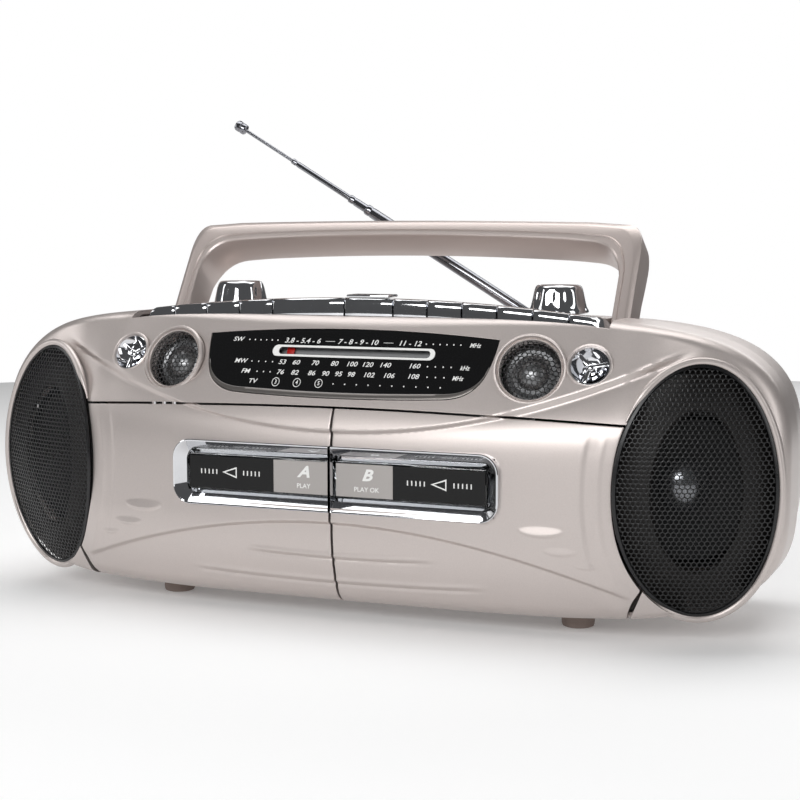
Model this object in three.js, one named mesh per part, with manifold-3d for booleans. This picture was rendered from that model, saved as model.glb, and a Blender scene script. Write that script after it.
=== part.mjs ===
// A twin-cassette portable radio recorder with a carrying handle and a telescopic aerial.
// Millimetres. X runs to the right, Y to the back and Z up, with the feet standing on Z = 0.
// Depths are written from the front plane (Y = 0) and the last group centres them.
import * as THREE from "three";
import { mergeVertices } from "three/addons/utils/BufferGeometryUtils.js";
import Module from "manifold-3d";

const wasm = await Module();
wasm.setup();

// ---- driving dimensions -------------------------------------------------------------------
const HALF_WIDTH = 248.5;
const MID_HEIGHT = 93;
const RISE = 84; // from mid height to the top deck
const DROP = 82; // from mid height to the belly
const FRONT_MOST = -2.6; // face of the cassette bezels
const BACK_FACE = 167;
const DEPTH_SHIFT = -(FRONT_MOST + BACK_FACE) / 2;
const PARTING = 75; // plane where the front cabinet meets the rear one
const WALL = 2.6;
const EDGE_ROUND = 8; // radius round the rim of the front face
const SEAM = 0.8; // gap round doors and lids
const FIT = 0.4; // gap round fixed inserts

const SPEAKER = { x: 202.8, y: 22.5, z: 85, turn: THREE.MathUtils.degToRad(23), rx: 41.6, rz: 69 };
const TWEETER = { x: 110.9, y: 20.2, z: 147.8, r: 19.6 };
const REFLECTOR = { x: 143.3, y: 25, z: 151.2, r: 11.9 };
const BEZEL = { x0: 0.6, x1: 100.3, z0: 65.6, z1: 103.8 };
const WINDOW = { x0: 5, x1: 92, z0: 73.5, z1: 94.7 };
const CASSETTE = { centre: 53.4, halfWidth: 51.1, z0: 48, spindleZ: 77, spindlePitch: 42.5 };
const DOOR_PIVOT = { y: 20, z: 12 };
const KEY_FRONT = 39;
const KEY_BACK = 64;
const KEY_TOP = 185.5; // top of the key row at the middle, falling off towards the ends
const KEY_FALL = 8.8 / (143 * 143);
const KNOB = { x: 104.6, y: 94.6, z: 176.2, base: 17.7, top: 12.8, height: 16.4 };
const HANDLE = { y: 80, z: 144, lean: THREE.MathUtils.degToRad(31.5), outer: 149.5, inner: 138.5 };
const AERIAL = { x: 97, y: 162, z: 152, rise: THREE.MathUtils.degToRad(31) };
const REBATE = { y: 154.5, z: 142.6 }; // step along the rear top edge where the aerial lies
const BATTERY = { x: 125, z0: 33, z1: 101 };
const INLET = { x: -190, z: 42 };

// ---- finishes -----------------------------------------------------------------------------
const paint = { color: 0xb3aba0, roughness: 0.38, metalness: 0.35 };
const handlePaint = { color: 0xa0968c, roughness: 0.42, metalness: 0.3 };
const chrome = { color: 0xd8d9dc, roughness: 0.08, metalness: 1 };
const blackMesh = { color: 0x17181a, roughness: 0.45, metalness: 0.4 };
const glossBlack = { color: 0x0b0b0c, roughness: 0.12, metalness: 0 };
const darkPlastic = { color: 0x2a2a2b, roughness: 0.55, metalness: 0 };
const paperCone = { color: 0x202020, roughness: 0.85, metalness: 0 };
const clear = { color: 0xc9ced1, roughness: 0.05, metalness: 0, transparent: true, opacity: 0.4 };
const rubber = { color: 0x4a423d, roughness: 0.85, metalness: 0 };
const zincPlate = { color: 0x9a9b9c, roughness: 0.35, metalness: 0.9 };
const circuitBoard = { color: 0x2f5a3a, roughness: 0.6, metalness: 0 };
const redPlastic = { color: 0xc41f1a, roughness: 0.35, metalness: 0 };

const body = new THREE.Group();
body.position.y = DEPTH_SHIFT;

function add(name, geometry, finish, parent = body) {
  const mesh = new THREE.Mesh(geometry, new THREE.MeshStandardMaterial(finish));
  mesh.name = name;
  parent.add(mesh);
  return mesh;
}

// ---- solids -------------------------------------------------------------------------------
function solidOf(geometry) {
  const bare = geometry.clone();
  bare.deleteAttribute("normal");
  bare.deleteAttribute("uv");
  const merged = mergeVertices(bare, 1e-4);
  const corners = merged.index.array;
  const triangles = [];
  for (let i = 0; i < corners.length; i += 3) {
    const [a, b, c] = [corners[i], corners[i + 1], corners[i + 2]];
    if (a !== b && b !== c && c !== a) triangles.push(a, b, c);
  }
  return new wasm.Manifold(new wasm.Mesh({
    numProp: 3,
    vertProperties: Float32Array.from(merged.attributes.position.array),
    triVerts: Uint32Array.from(triangles),
  }));
}

function geometryOf(solid) {
  const mesh = solid.getMesh();
  const geometry = new THREE.BufferGeometry();
  geometry.setAttribute("position", new THREE.BufferAttribute(mesh.vertProperties, 3));
  geometry.setIndex(new THREE.BufferAttribute(mesh.triVerts, 1));
  return geometry;
}

function box(x0, x1, y0, y1, z0, z1) {
  const geometry = new THREE.BoxGeometry(x1 - x0, y1 - y0, z1 - z0);
  geometry.translate((x0 + x1) / 2, (y0 + y1) / 2, (z0 + z1) / 2);
  return geometry;
}

// A box whose back rectangle differs from its front one, each given as [x0, x1, z0, z1].
function taperedBox(front, yFront, back, yBack) {
  const geometry = box(0, 1, 0, 1, 0, 1);
  const place = geometry.attributes.position;
  for (let i = 0; i < place.count; i++) {
    const [x0, x1, z0, z1] = place.getY(i) < 0.5 ? front : back;
    const x = place.getX(i) < 0.5 ? x0 : x1;
    const z = place.getZ(i) < 0.5 ? z0 : z1;
    place.setXYZ(i, x, place.getY(i) < 0.5 ? yFront : yBack, z);
  }
  return geometry;
}

// A shape drawn in X and Z, extruded from y0 back to y1.
function prism(shape, y0, y1, curveSegments = 8) {
  const settings = { depth: y1 - y0, bevelEnabled: false, curveSegments };
  const geometry = new THREE.ExtrudeGeometry(shape, settings);
  geometry.rotateX(Math.PI / 2);
  geometry.translate(0, y1, 0);
  return geometry;
}

// A profile of [radius, height] pairs turned about the axis through a centre point.
// The profile climbs from the back of the piece to its front, along axis.
function turned(profile, centre, axis, segments = 16) {
  const points = profile.map(([r, h]) => new THREE.Vector2(r, h));
  const geometry = new THREE.LatheGeometry(points, segments);
  const upright = new THREE.Vector3(0, 1, 0);
  const turn = new THREE.Quaternion().setFromUnitVectors(upright, axis.clone().normalize());
  geometry.applyQuaternion(turn);
  geometry.translate(centre.x, centre.y, centre.z);
  return geometry;
}

const mirrored = (point, side) => new THREE.Vector3(point.x * side, point.y, point.z);
const both = [["left", -1], ["right", 1]];

// ---- the body surface ---------------------------------------------------------------------
const ramp = (t) => t * t * (3 - 2 * t);
const between = (v, a, b) => THREE.MathUtils.clamp((v - a) / (b - a), 0, 1);

// Depth of the front face: upright in the middle, tucked under at the belly, leaning back above
// the doors, and swept back at the speakers.
function frontDepth(x, z) {
  const reach = Math.abs(x);
  const belly = z < 62 ? 0.0052 * (62 - z) ** 2 : 0;
  const above = z - 117;
  const fascia = 0.62 * (above + Math.hypot(above, 12)) / 2;
  const sweep = reach < 165 ? 8 * (reach / 170) ** 3 : 7.31 + 0.425 * (reach - 165);
  const ease = 1 - 0.45 * ramp(between(reach, 150, 205));
  return -0.8 + sweep + (belly + fascia) * ease;
}

// Outline of the cabinet seen from the front: flat top and belly with full round sides.
function outlineAt(angle, inset) {
  const c = Math.cos(angle);
  const s = Math.sin(angle);
  const top = s > 0;
  const half = HALF_WIDTH - inset.side;
  const height = top ? RISE - inset.top : DROP - inset.bottom;
  const x = half * Math.sign(c) * Math.abs(c) ** (2 / 5.5);
  const z = height * Math.sign(s) * Math.abs(s) ** (2 / (top ? 3 : 4));
  return [x, MID_HEIGHT + z];
}

// Points spaced evenly along that outline.
function outline(count, inset) {
  const fine = Array.from({ length: 1441 }, (_, i) => outlineAt((i / 1440) * 2 * Math.PI, inset));
  const run = [0];
  for (let i = 1; i < fine.length; i++) {
    run.push(run[i - 1] + Math.hypot(fine[i][0] - fine[i - 1][0], fine[i][1] - fine[i - 1][1]));
  }
  const points = [];
  let at = 0;
  for (let k = 0; k < count; k++) {
    const goal = (k / count) * run[run.length - 1];
    while (run[at + 1] < goal) at++;
    const t = (goal - run[at]) / (run[at + 1] - run[at]);
    points.push([0, 1].map((i) => fine[at][i] + t * (fine[at + 1][i] - fine[at][i])));
  }
  return points;
}

// A closed solid skinned over rings of [x, y, z] points, with a pole at each end.
function skin(rings, firstPole, lastPole) {
  const count = rings[0].length;
  const places = [firstPole, ...rings.flat(), lastPole].flat();
  const last = rings.length * count + 1;
  const faces = [];
  for (let k = 0; k < count; k++) {
    const next = (k + 1) % count;
    faces.push(0, 1 + k, 1 + next);
    for (let r = 0; r + 1 < rings.length; r++) {
      const a = 1 + r * count + k;
      const b = 1 + r * count + next;
      faces.push(a, b + count, b, a, a + count, b + count);
    }
    faces.push(last, last - count + next, last - count + k);
  }
  const geometry = new THREE.BufferGeometry();
  geometry.setAttribute("position", new THREE.Float32BufferAttribute(places, 3));
  geometry.setIndex(faces);
  return geometry;
}

const AROUND = 48;
const FACE_RINGS = [0.2, 0.4, 0.58, 0.73, 0.85, 0.94, 0.98, 1];

function frontSolid(wall, endDepth) {
  const rim = outline(AROUND, { side: wall, top: wall, bottom: wall });
  const rings = FACE_RINGS.map((share) => rim.map(([x, z]) => {
    const px = x * share;
    const pz = MID_HEIGHT + (z - MID_HEIGHT) * share;
    const left = Math.hypot(x - px, z - pz);
    const in2 = left < EDGE_ROUND ? EDGE_ROUND - left : 0;
    const rounding = EDGE_ROUND - Math.sqrt(EDGE_ROUND ** 2 - in2 ** 2);
    return [px, frontDepth(px, pz) + rounding + wall, pz];
  }));
  rings.push(rim.map(([x, z]) => [x, endDepth, z]));
  const pole = [0, frontDepth(0, MID_HEIGHT) + wall, MID_HEIGHT];
  return solidOf(skin(rings, pole, [0, endDepth, MID_HEIGHT]));
}

const REAR_RINGS = [
  { y: PARTING + 0.3, side: 3, top: 1.5, bottom: 1 },
  { y: 110, side: 5.5, top: 2.5, bottom: 1.5 },
  { y: 145, side: 9, top: 4, bottom: 2.5 },
  { y: 157, side: 11, top: 6, bottom: 5 },
  { y: 162, side: 12.8, top: 8.5, bottom: 8 },
  { y: 165.5, side: 16, top: 12.5, bottom: 12 },
  { y: BACK_FACE, side: 20, top: 17, bottom: 17 },
];

function rearSolid(wall, startDepth) {
  const rings = REAR_RINGS.map(({ y, side, top, bottom }, i) => {
    const inset = { side: side + wall, top: top + wall, bottom: bottom + wall };
    const depth = i === 0 ? startDepth : y - (y > 150 ? wall : 0);
    return outline(AROUND, inset).map(([x, z]) => [x, depth, z]);
  });
  const poles = [startDepth, BACK_FACE - wall].map((y) => [0, y, MID_HEIGHT]);
  const step = box(-300, 300, REBATE.y - wall, 200, REBATE.z - wall, 200);
  return solidOf(skin(rings, ...poles)).subtract(solidOf(step));
}

const frontShell = frontSolid(0, PARTING).subtract(frontSolid(WALL, PARTING + 1));
const rearShell = rearSolid(0, PARTING + 0.3).subtract(rearSolid(WALL, PARTING - 1));

// ---- outlines drawn on the front ----------------------------------------------------------
const seamHeight = (x) => 124.2 - 4.1 * (x / 166) ** 2;

// A cassette door reaches from the middle seam to the speaker grille. Its outer edge follows
// the grille's ellipse as seen from the front. grow widens it for the opening in the cabinet.
function doorShape(side, grow) {
  const rx = SPEAKER.rx * 1.02 - grow;
  const rz = SPEAKER.rz * 1.02 - grow;
  const arc = (angle) => [SPEAKER.x - rx * Math.cos(angle), SPEAKER.z + rz * Math.sin(angle)];
  const from = Math.asin((seamHeight(166) + grow - SPEAKER.z) / rz);
  const to = Math.asin((31.8 - SPEAKER.z) / rz);
  const points = [[grow ? -1 : SEAM / 2, 0], [grow ? -1 : SEAM / 2, seamHeight(0) + grow]];
  for (const x of [42, 84, 126]) points.push([x, seamHeight(x) + grow]);
  for (let i = 0; i <= 12; i++) points.push(arc(from + ((to - from) * i) / 12));
  points.push([166.3 + grow, 11.8], [161 + grow, 0]);
  return new THREE.Shape(points.map(([x, z]) => new THREE.Vector2(side * x, z)));
}

function dialShape(grow) {
  const shape = new THREE.Shape();
  const half = [[90, 163.4], [84.8, 142], [64, 131.4]].map(([x, z]) => [x + grow, z]);
  shape.moveTo(-half[0][0], half[0][1] + grow);
  shape.quadraticCurveTo(-(half[1][0] + 4), half[1][1] + 8, -half[1][0], half[1][1]);
  shape.quadraticCurveTo(-(half[1][0] - 6), half[2][1] + 1 - grow, -half[2][0], half[2][1] - grow);
  shape.quadraticCurveTo(0, 128.2 - grow, half[2][0], half[2][1] - grow);
  shape.quadraticCurveTo(half[1][0] - 6, half[2][1] + 1 - grow, half[1][0], half[1][1]);
  shape.quadraticCurveTo(half[1][0] + 4, half[1][1] + 8, half[0][0], half[0][1] + grow);
  shape.quadraticCurveTo(0, 171.6 + grow, -half[0][0], half[0][1] + grow);
  return shape;
}

// The speaker opening: an ellipse as seen from the front, cut to an even depth below the
// swept face.
function speakerPlug(side, grow) {
  const shape = new THREE.Shape();
  const [rx, rz] = [SPEAKER.rx + grow, SPEAKER.rz + grow];
  shape.absellipse(side * SPEAKER.x, SPEAKER.z, rx, rz, 0, 2 * Math.PI);
  const geometry = prism(shape, SPEAKER.y - 25, SPEAKER.y + 18, 16);
  const place = geometry.attributes.position;
  for (let i = 0; i < place.count; i++) {
    const swept = (side * place.getX(i) - SPEAKER.x) * Math.tan(SPEAKER.turn);
    place.setY(i, place.getY(i) + swept);
  }
  return geometry;
}

// Axes of the small round fittings beside the dial: tilted up and a little outwards.
function fasciaAxis(side, up, out) {
  const [u, o] = [up, out].map(THREE.MathUtils.degToRad);
  return new THREE.Vector3(side * Math.sin(o), -Math.cos(o) * Math.cos(u), Math.sin(u));
}
const tweeterAxis = (side) => fasciaAxis(side, 22, 7);
const reflectorAxis = (side) => fasciaAxis(side, 28, 6);
const bore = (r, depth) => [[0, -depth], [r, -depth], [r, depth], [0, depth]];

// ---- cabinets -----------------------------------------------------------------------------
// Slots for the handle legs. Each runs from the upright leg back to the leaning one.
const legSlots = both.map(([, side]) => {
  const [a, b] = [side * (HANDLE.inner - 1.5), side * (HANDLE.outer + 1.5)];
  return solidOf(box(Math.min(a, b), Math.max(a, b), 66, 113, 155, 190));
});

let frontCabinet = frontShell;
const frontCuts = [
  solidOf(prism(dialShape(FIT), -5, 60)),
  solidOf(box(-150, 150, 38, 76, 150, 190)),
  ...legSlots,
];
for (const [, side] of both) {
  frontCuts.push(
    solidOf(prism(doorShape(side, SEAM), -20, 24 + SEAM)),
    solidOf(speakerPlug(side, FIT)),
    solidOf(turned(bore(TWEETER.r + FIT, 25), mirrored(TWEETER, side), tweeterAxis(side))),
    solidOf(turned(bore(REFLECTOR.r + FIT, 20), mirrored(REFLECTOR, side), reflectorAxis(side))),
  );
}
for (const cut of frontCuts) frontCabinet = frontCabinet.subtract(cut);
add("front_cabinet", geometryOf(frontCabinet), paint);

let rearCabinet = rearShell;
const up = new THREE.Vector3(0, 0, 1);
const rearCuts = [
  solidOf(box(-BATTERY.x, BATTERY.x, 150, 180, BATTERY.z0, BATTERY.z1)),
  solidOf(box(INLET.x - 12.4, INLET.x + 12.4, 150, 180, INLET.z - 8.4, INLET.z + 8.4)),
  ...legSlots,
];
for (const [, side] of both) {
  rearCuts.push(solidOf(turned(bore(4.2, 14), mirrored(KNOB, side), up)));
}
for (const cut of rearCuts) rearCabinet = rearCabinet.subtract(cut);
add("rear_cabinet", geometryOf(rearCabinet), paint);

// ---- battery bay --------------------------------------------------------------------------
const [bx, bz0, bz1] = [BATTERY.x - FIT, BATTERY.z0 + FIT, BATTERY.z1 - FIT];
add("battery_door", box(-bx, bx, BACK_FACE - WALL, BACK_FACE, bz0, bz1), paint);

const trayOuter = solidOf(box(-128, 128, 124, 163.8, BATTERY.z0 - 3, BATTERY.z1 + 3));
const trayInner = solidOf(box(-126, 126, 126, 170, BATTERY.z0 - 1, BATTERY.z1 + 1));
add("battery_tray", geometryOf(trayOuter.subtract(trayInner)), darkPlastic);

// ---- cassette doors -----------------------------------------------------------------------
const decks = [["a", -1], ["b", 1]];
const sided = (side, x0, x1) => (side > 0 ? [x0, x1] : [-x1, -x0]);

for (const [deck, side] of decks) {
  const door = frontShell
    .intersect(solidOf(prism(doorShape(side, 0), -20, 24)))
    .subtract(solidOf(box(...sided(side, 2.6, 98.3), -20, 20, 67.6, 101.8)));
  add(`cassette_door_${deck}`, geometryOf(door), paint);

  // chrome surround: a thin flange over the door, and walls that slope in to the window
  const flange = solidOf(box(...sided(side, BEZEL.x0, BEZEL.x1), FRONT_MOST, -1.2, BEZEL.z0, BEZEL.z1));
  const socket = solidOf(box(...sided(side, 3.1, 97.8), -2, 7, 68.1, 101.3));
  const mouth = solidOf(taperedBox(
    [...sided(side, 3.6, 96.4), 69.4, 99.6], FRONT_MOST - 0.1,
    [...sided(side, WINDOW.x0, WINDOW.x1), WINDOW.z0, WINDOW.z1], 7.1,
  ));
  add(`bezel_${deck}`, geometryOf(flange.add(socket).subtract(mouth)), chrome);

  const [wx0, wx1] = [WINDOW.x0 + FIT, WINDOW.x1 - FIT];
  add(`window_${deck}`, box(...sided(side, wx0, wx1), 5, 6.6, WINDOW.z0 + FIT, WINDOW.z1 - FIT), clear);

  // pocket that carries the cassette behind the door, open at the top
  const [c0, c1] = [CASSETTE.centre - CASSETTE.halfWidth, CASSETTE.centre + CASSETTE.halfWidth];
  const pocket = solidOf(box(...sided(side, c0 - 1.2, c1 + 1.2), 8, 23.4, CASSETTE.z0 - 1.4, 104))
    .subtract(solidOf(box(...sided(side, c0, c1), 9.2, 22.2, CASSETTE.z0, 110)))
    .subtract(solidOf(box(...sided(side, c0 + 5, c1 - 5), 20, 30, CASSETTE.z0 + 5, 110)))
    .subtract(solidOf(box(...sided(side, c0 + 1, c1 - 10), 0, 12, 70, 98)));
  add(`cassette_holder_${deck}`, geometryOf(pocket), darkPlastic);

  // mechanism plate with a bore for each reel spindle
  const spindleXs = [-0.5, 0.5].map((n) => side * (CASSETTE.centre + n * CASSETTE.spindlePitch));
  const back = new THREE.Vector3(0, 1, 0);
  let plate = solidOf(box(...sided(side, 2, 110), 27, 33, 42, 122));
  for (const x of spindleXs) {
    const hole = turned(bore(2, 10), new THREE.Vector3(x, 30, CASSETTE.spindleZ), back, 12);
    plate = plate.subtract(solidOf(hole));
  }
  add(`tape_mechanism_${deck}`, geometryOf(plate), zincPlate);

  const reel = [[0, 0], [1.5, 0], [1.5, 14], [10.5, 14], [10.5, 16], [4.2, 16], [4.2, 26], [2.4, 28],
    [0, 28]];
  spindleXs.forEach((x, i) => {
    const centre = new THREE.Vector3(x, 40, CASSETTE.spindleZ);
    add(`spindle_${deck}${i + 1}`, turned(reel, centre, new THREE.Vector3(0, -1, 0), 8), glossBlack);
  });
}

// ---- tuning dial --------------------------------------------------------------------------
const slot = solidOf(box(-43, 51, 0, 60, 151.5, 155.5));
const dialPlate = frontShell.intersect(solidOf(prism(dialShape(0), -5, 60)));
add("dial_scale", geometryOf(dialPlate.subtract(slot)), glossBlack);

const pointer = new THREE.BoxGeometry(2.4, 1, 9);
pointer.rotateX(-Math.atan(0.6));
pointer.translate(-38, frontDepth(38, 153.5) + 5.4, 153.5);
add("dial_pointer", pointer, redPlastic);

// ---- speakers and lights ------------------------------------------------------------------
// The perforated grille is an ellipse seen from the front. It is swept back like the cabinet,
// domed in the middle and wrapped back at the top and bottom.
function grille(side) {
  const steps = [0.35, 0.7, 1];
  const count = 32;
  const thick = 2;
  const domed = (u, v, back) => {
    const spread = (u / SPEAKER.rx) ** 2 + (v / SPEAKER.rz) ** 2;
    const swept = u * Math.tan(SPEAKER.turn) + 10 * (v / SPEAKER.rz) ** 2;
    return [side * (SPEAKER.x + u), SPEAKER.y + swept - 7 * (1 - spread) + back, SPEAKER.z + v];
  };
  const ring = (share, back) => Array.from({ length: count }, (_, i) => {
    const angle = (side * i / count) * 2 * Math.PI;
    return domed(SPEAKER.rx * share * Math.cos(angle), SPEAKER.rz * share * Math.sin(angle), back);
  });
  const rings = [...steps.map((s) => ring(s, 0)), ...[...steps].reverse().map((s) => ring(s, thick))];
  return skin(rings, domed(0, 0, 0), domed(0, 0, thick));
}

// Profiles of the bass driver: pressed frame with magnet, and the paper cone inside it.
const framePlan = [[0, -48], [22, -48], [22, -34], [12, -34], [30, -14], [40, -14], [44, -4], [44, 0],
  [41.5, 0], [41.5, -3], [37, -11.5], [27, -11.5], [8, -32], [0, -32]];
const conePlan = [[0, -27], [7, -27], [29.5, -8], [36, -8], [40, -1.2], [36.5, 1.6], [33, -1.2], [29, -4.4],
  [12, -18], [9, -16], [5, -14.2], [0, -13.6]];

for (const [name, side] of both) {
  add(`grille_${name}`, grille(side), blackMesh);
  const outward = new THREE.Vector3(side * Math.sin(SPEAKER.turn), -Math.cos(SPEAKER.turn), 0);
  const seat = mirrored(SPEAKER, side).addScaledVector(outward, -16);
  add(`woofer_frame_${name}`, turned(framePlan, seat, outward), zincPlate);
  add(`woofer_cone_${name}`, turned(conePlan, seat, outward), paperCone);

  const ring = [[TWEETER.r - 2, -6], [TWEETER.r, -6], [TWEETER.r, 1.5], [TWEETER.r - 0.8, 2.2],
    [TWEETER.r - 2, 0], [TWEETER.r - 2, -6]];
  add(`tweeter_ring_${name}`, turned(ring, mirrored(TWEETER, side), tweeterAxis(side)), paint);
  const dome = [[0, -14], [9, -14], [9, -8], [17.2, -8], [17.2, -1], [15, 1], [11, 2.4], [6, 3.3], [0, 3.6]];
  add(`tweeter_${name}`, turned(dome, mirrored(TWEETER, side), tweeterAxis(side)), blackMesh);
  const dish = [[0, -9], [5, -9], [REFLECTOR.r, -3], [REFLECTOR.r, 1], [REFLECTOR.r - 1.6, 1],
    [REFLECTOR.r - 3, -2.5], [4, -5.5], [2.6, -1], [0, -0.4]];
  add(`reflector_${name}`, turned(dish, mirrored(REFLECTOR, side), reflectorAxis(side)), chrome);
}

// ---- keys ---------------------------------------------------------------------------------
// One piano key or cover of the row: a bar with a bevelled front edge, sheared to the row's arc.
function keyBar(x0, x1) {
  const side = new THREE.Shape([[KEY_FRONT, -16], [KEY_FRONT, -2.2], [KEY_FRONT + 1.8, 0], [58, -1.5],
    [KEY_BACK, -6], [KEY_BACK, -16]].map(([y, z]) => new THREE.Vector2(y, z)));
  const geometry = new THREE.ExtrudeGeometry(side, { depth: x1 - x0, bevelEnabled: false });
  geometry.applyMatrix4(new THREE.Matrix4().set(0, 0, 1, x0, 1, 0, 0, 0, 0, 1, 0, 0, 0, 0, 0, 1));
  const place = geometry.attributes.position;
  const fall = (x) => KEY_TOP - KEY_FALL * x * x;
  const slope = (fall(x1) - fall(x0)) / (x1 - x0);
  for (let i = 0; i < place.count; i++) {
    place.setZ(i, place.getZ(i) + fall(x0) + slope * (place.getX(i) - x0));
  }
  return geometry;
}

const KEY_GAP = 0.9;
function keyRow(deck, first, width, count) {
  for (let i = 0; i < count; i++) {
    const x = first + i * width;
    add(`key_${deck}${i + 1}`, keyBar(x + KEY_GAP / 2, x + width - KEY_GAP / 2), chrome);
  }
}
keyRow("a", -143, 22, 4);
keyRow("b", 22, 21, 6);
add("key_cover", keyBar(-55 + KEY_GAP / 2, 22 - KEY_GAP / 2), chrome);
const keyRail = solidOf(box(-135.5, 135.5, 65.5, 74.4, 152, 175.6));
add("key_bed", geometryOf(solidOf(box(-149, 149, 38.6, 66, 152, 156)).add(keyRail)), paint);
add("function_switch", box(-9, 19, 42, 55, KEY_TOP + 0.5, KEY_TOP + 2.4), chrome);

// ---- knobs --------------------------------------------------------------------------------
for (const [name, side] of [["volume_knob", -1], ["tuning_knob", 1]]) {
  const plan = [[0, -15], [3, -15], [3, 0], [KNOB.base - 1, 0], [KNOB.base, 1.4], [KNOB.base - 1.8, 7],
    [KNOB.top + 0.6, KNOB.height - 1.4], [KNOB.top - 1, KNOB.height], [KNOB.top - 3, KNOB.height],
    [KNOB.top - 4, KNOB.height - 1], [0, KNOB.height - 1]];
  add(name, turned(plan, mirrored(KNOB, side), up, 20), chrome);
}

// ---- carrying handle ----------------------------------------------------------------------
// Drawn upright in X and height above its pivot line, then leaned back.
function handleGeometry() {
  const o = HANDLE.outer;
  const i = HANDLE.inner;
  const shape = new THREE.Shape();
  shape.moveTo(o, -8);
  shape.lineTo(o, 70);
  shape.quadraticCurveTo(o, 92, o - 9, 93.4);
  shape.quadraticCurveTo(0, 99.5, -(o - 9), 93.4);
  shape.quadraticCurveTo(-o, 92, -o, 70);
  shape.lineTo(-o, -8);
  shape.quadraticCurveTo(-o, -11, -(o - 3), -11);
  shape.lineTo(-(i + 3), -11);
  shape.quadraticCurveTo(-i, -11, -i, -8);
  shape.lineTo(-i, 52);
  shape.quadraticCurveTo(-(i - 6), 78, -100, 81.6);
  shape.quadraticCurveTo(0, 87.5, 100, 81.6);
  shape.quadraticCurveTo(i - 6, 78, i, 52);
  shape.lineTo(i, -8);
  shape.quadraticCurveTo(i, -11, i + 3, -11);
  shape.lineTo(o - 3, -11);
  shape.quadraticCurveTo(o, -11, o, -8);
  const front = solidOf(prism(shape, -11, 19, 7));
  const wedge = [[11, -30], [30, -30], [30, 66], [11, 40]];
  const taper = new THREE.Shape(wedge.map((p) => new THREE.Vector2(...p)));
  const behind = new THREE.ExtrudeGeometry(taper, { depth: 400, bevelEnabled: false });
  behind.applyMatrix4(new THREE.Matrix4().set(0, 0, 1, -200, 1, 0, 0, 0, 0, 1, 0, 0, 0, 0, 0, 1));
  const geometry = geometryOf(front.subtract(solidOf(behind)));
  geometry.rotateX(-HANDLE.lean);
  geometry.translate(0, HANDLE.y, HANDLE.z);
  return geometry;
}
add("handle", handleGeometry(), handlePaint);

// ---- telescopic aerial --------------------------------------------------------------------
// The base turns on the rebate's floor and its two ears hold the mast's flattened foot.
const ears = solidOf(turned([[0, -8.8], [4.9, -8.8], [4.9, -5.6], [0, -5.6]], AERIAL, up))
  .add(solidOf(box(AERIAL.x - 3, AERIAL.x + 3, AERIAL.y - 4.4, AERIAL.y - 2.4, AERIAL.z - 6, AERIAL.z + 3)))
  .add(solidOf(box(AERIAL.x - 3, AERIAL.x + 3, AERIAL.y + 2.4, AERIAL.y + 4.4, AERIAL.z - 6, AERIAL.z + 3)));
add("aerial_base", geometryOf(ears), zincPlate);

// Each tube slides in the one before it. start and end are distances from the pivot.
const SECTIONS = [
  { start: 9, end: 167.5, r: 3.6, bore: 3.1 },
  { start: 31.6, end: 181.5, r: 2.7, bore: 2.2 },
  { start: 90, end: 230, r: 1.9, bore: 1.4 },
  { start: 144, end: 278, r: 1.1, bore: 0 },
];
const along = new THREE.Vector3(-Math.cos(AERIAL.rise), 0, Math.sin(AERIAL.rise));
const aerialPoint = (run) => new THREE.Vector3().copy(AERIAL).addScaledVector(along, run);

SECTIONS.forEach(({ start, end, r, bore: hollow }, i) => {
  const long = end - start;
  const tube = hollow
    ? [[0, 0], [r, 0], [r, long], [hollow, long], [hollow, 2], [0, 2]]
    : [[0, 0], [r, 0], [r, long - 8], [3.6, long - 7], [3.6, long - 1], [2.6, long], [0, long]];
  let solid = solidOf(turned(tube, aerialPoint(start), along, 12));
  if (i === 0) {
    const foot = new THREE.BoxGeometry(15, 4, 5.6);
    foot.translate(-4.5, 0, 0);
    foot.rotateY(AERIAL.rise);
    foot.translate(AERIAL.x, AERIAL.y, AERIAL.z);
    solid = solid.add(solidOf(foot));
  }
  add(`aerial_tube_${i + 1}`, geometryOf(solid), chrome);
});

// ---- feet, inlet and works ----------------------------------------------------------------
for (const [name, side] of both) {
  for (const [end, y, top] of [["front", 56, 11.2], ["rear", 140, 12.6]]) {
    const plan = [[0, 0], [8.6, 0], [9.5, 1.2], [9.5, top], [0, top]];
    const centre = new THREE.Vector3(side * 129.5, y, 0);
    add(`foot_${end}_${name}`, turned(plan, centre, up), rubber);
  }
}

const inletBlock = solidOf(box(INLET.x - 12, INLET.x + 12, 148, BACK_FACE - 0.4, INLET.z - 8, INLET.z + 8));
const inletWell = solidOf(box(INLET.x - 8, INLET.x + 8, 155, 180, INLET.z - 4.2, INLET.z + 4.2));
add("mains_inlet", geometryOf(inletBlock.subtract(inletWell)), darkPlastic);
add("main_board", box(-112, 112, 112, 113.6, 30, 150), circuitBoard);
add("transformer", box(-182, -134, 98, 140, 24, 66), zincPlate);

export default new THREE.Group().add(body);
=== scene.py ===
import math

import bmesh
import bpy
from mathutils import Matrix, Vector


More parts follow.
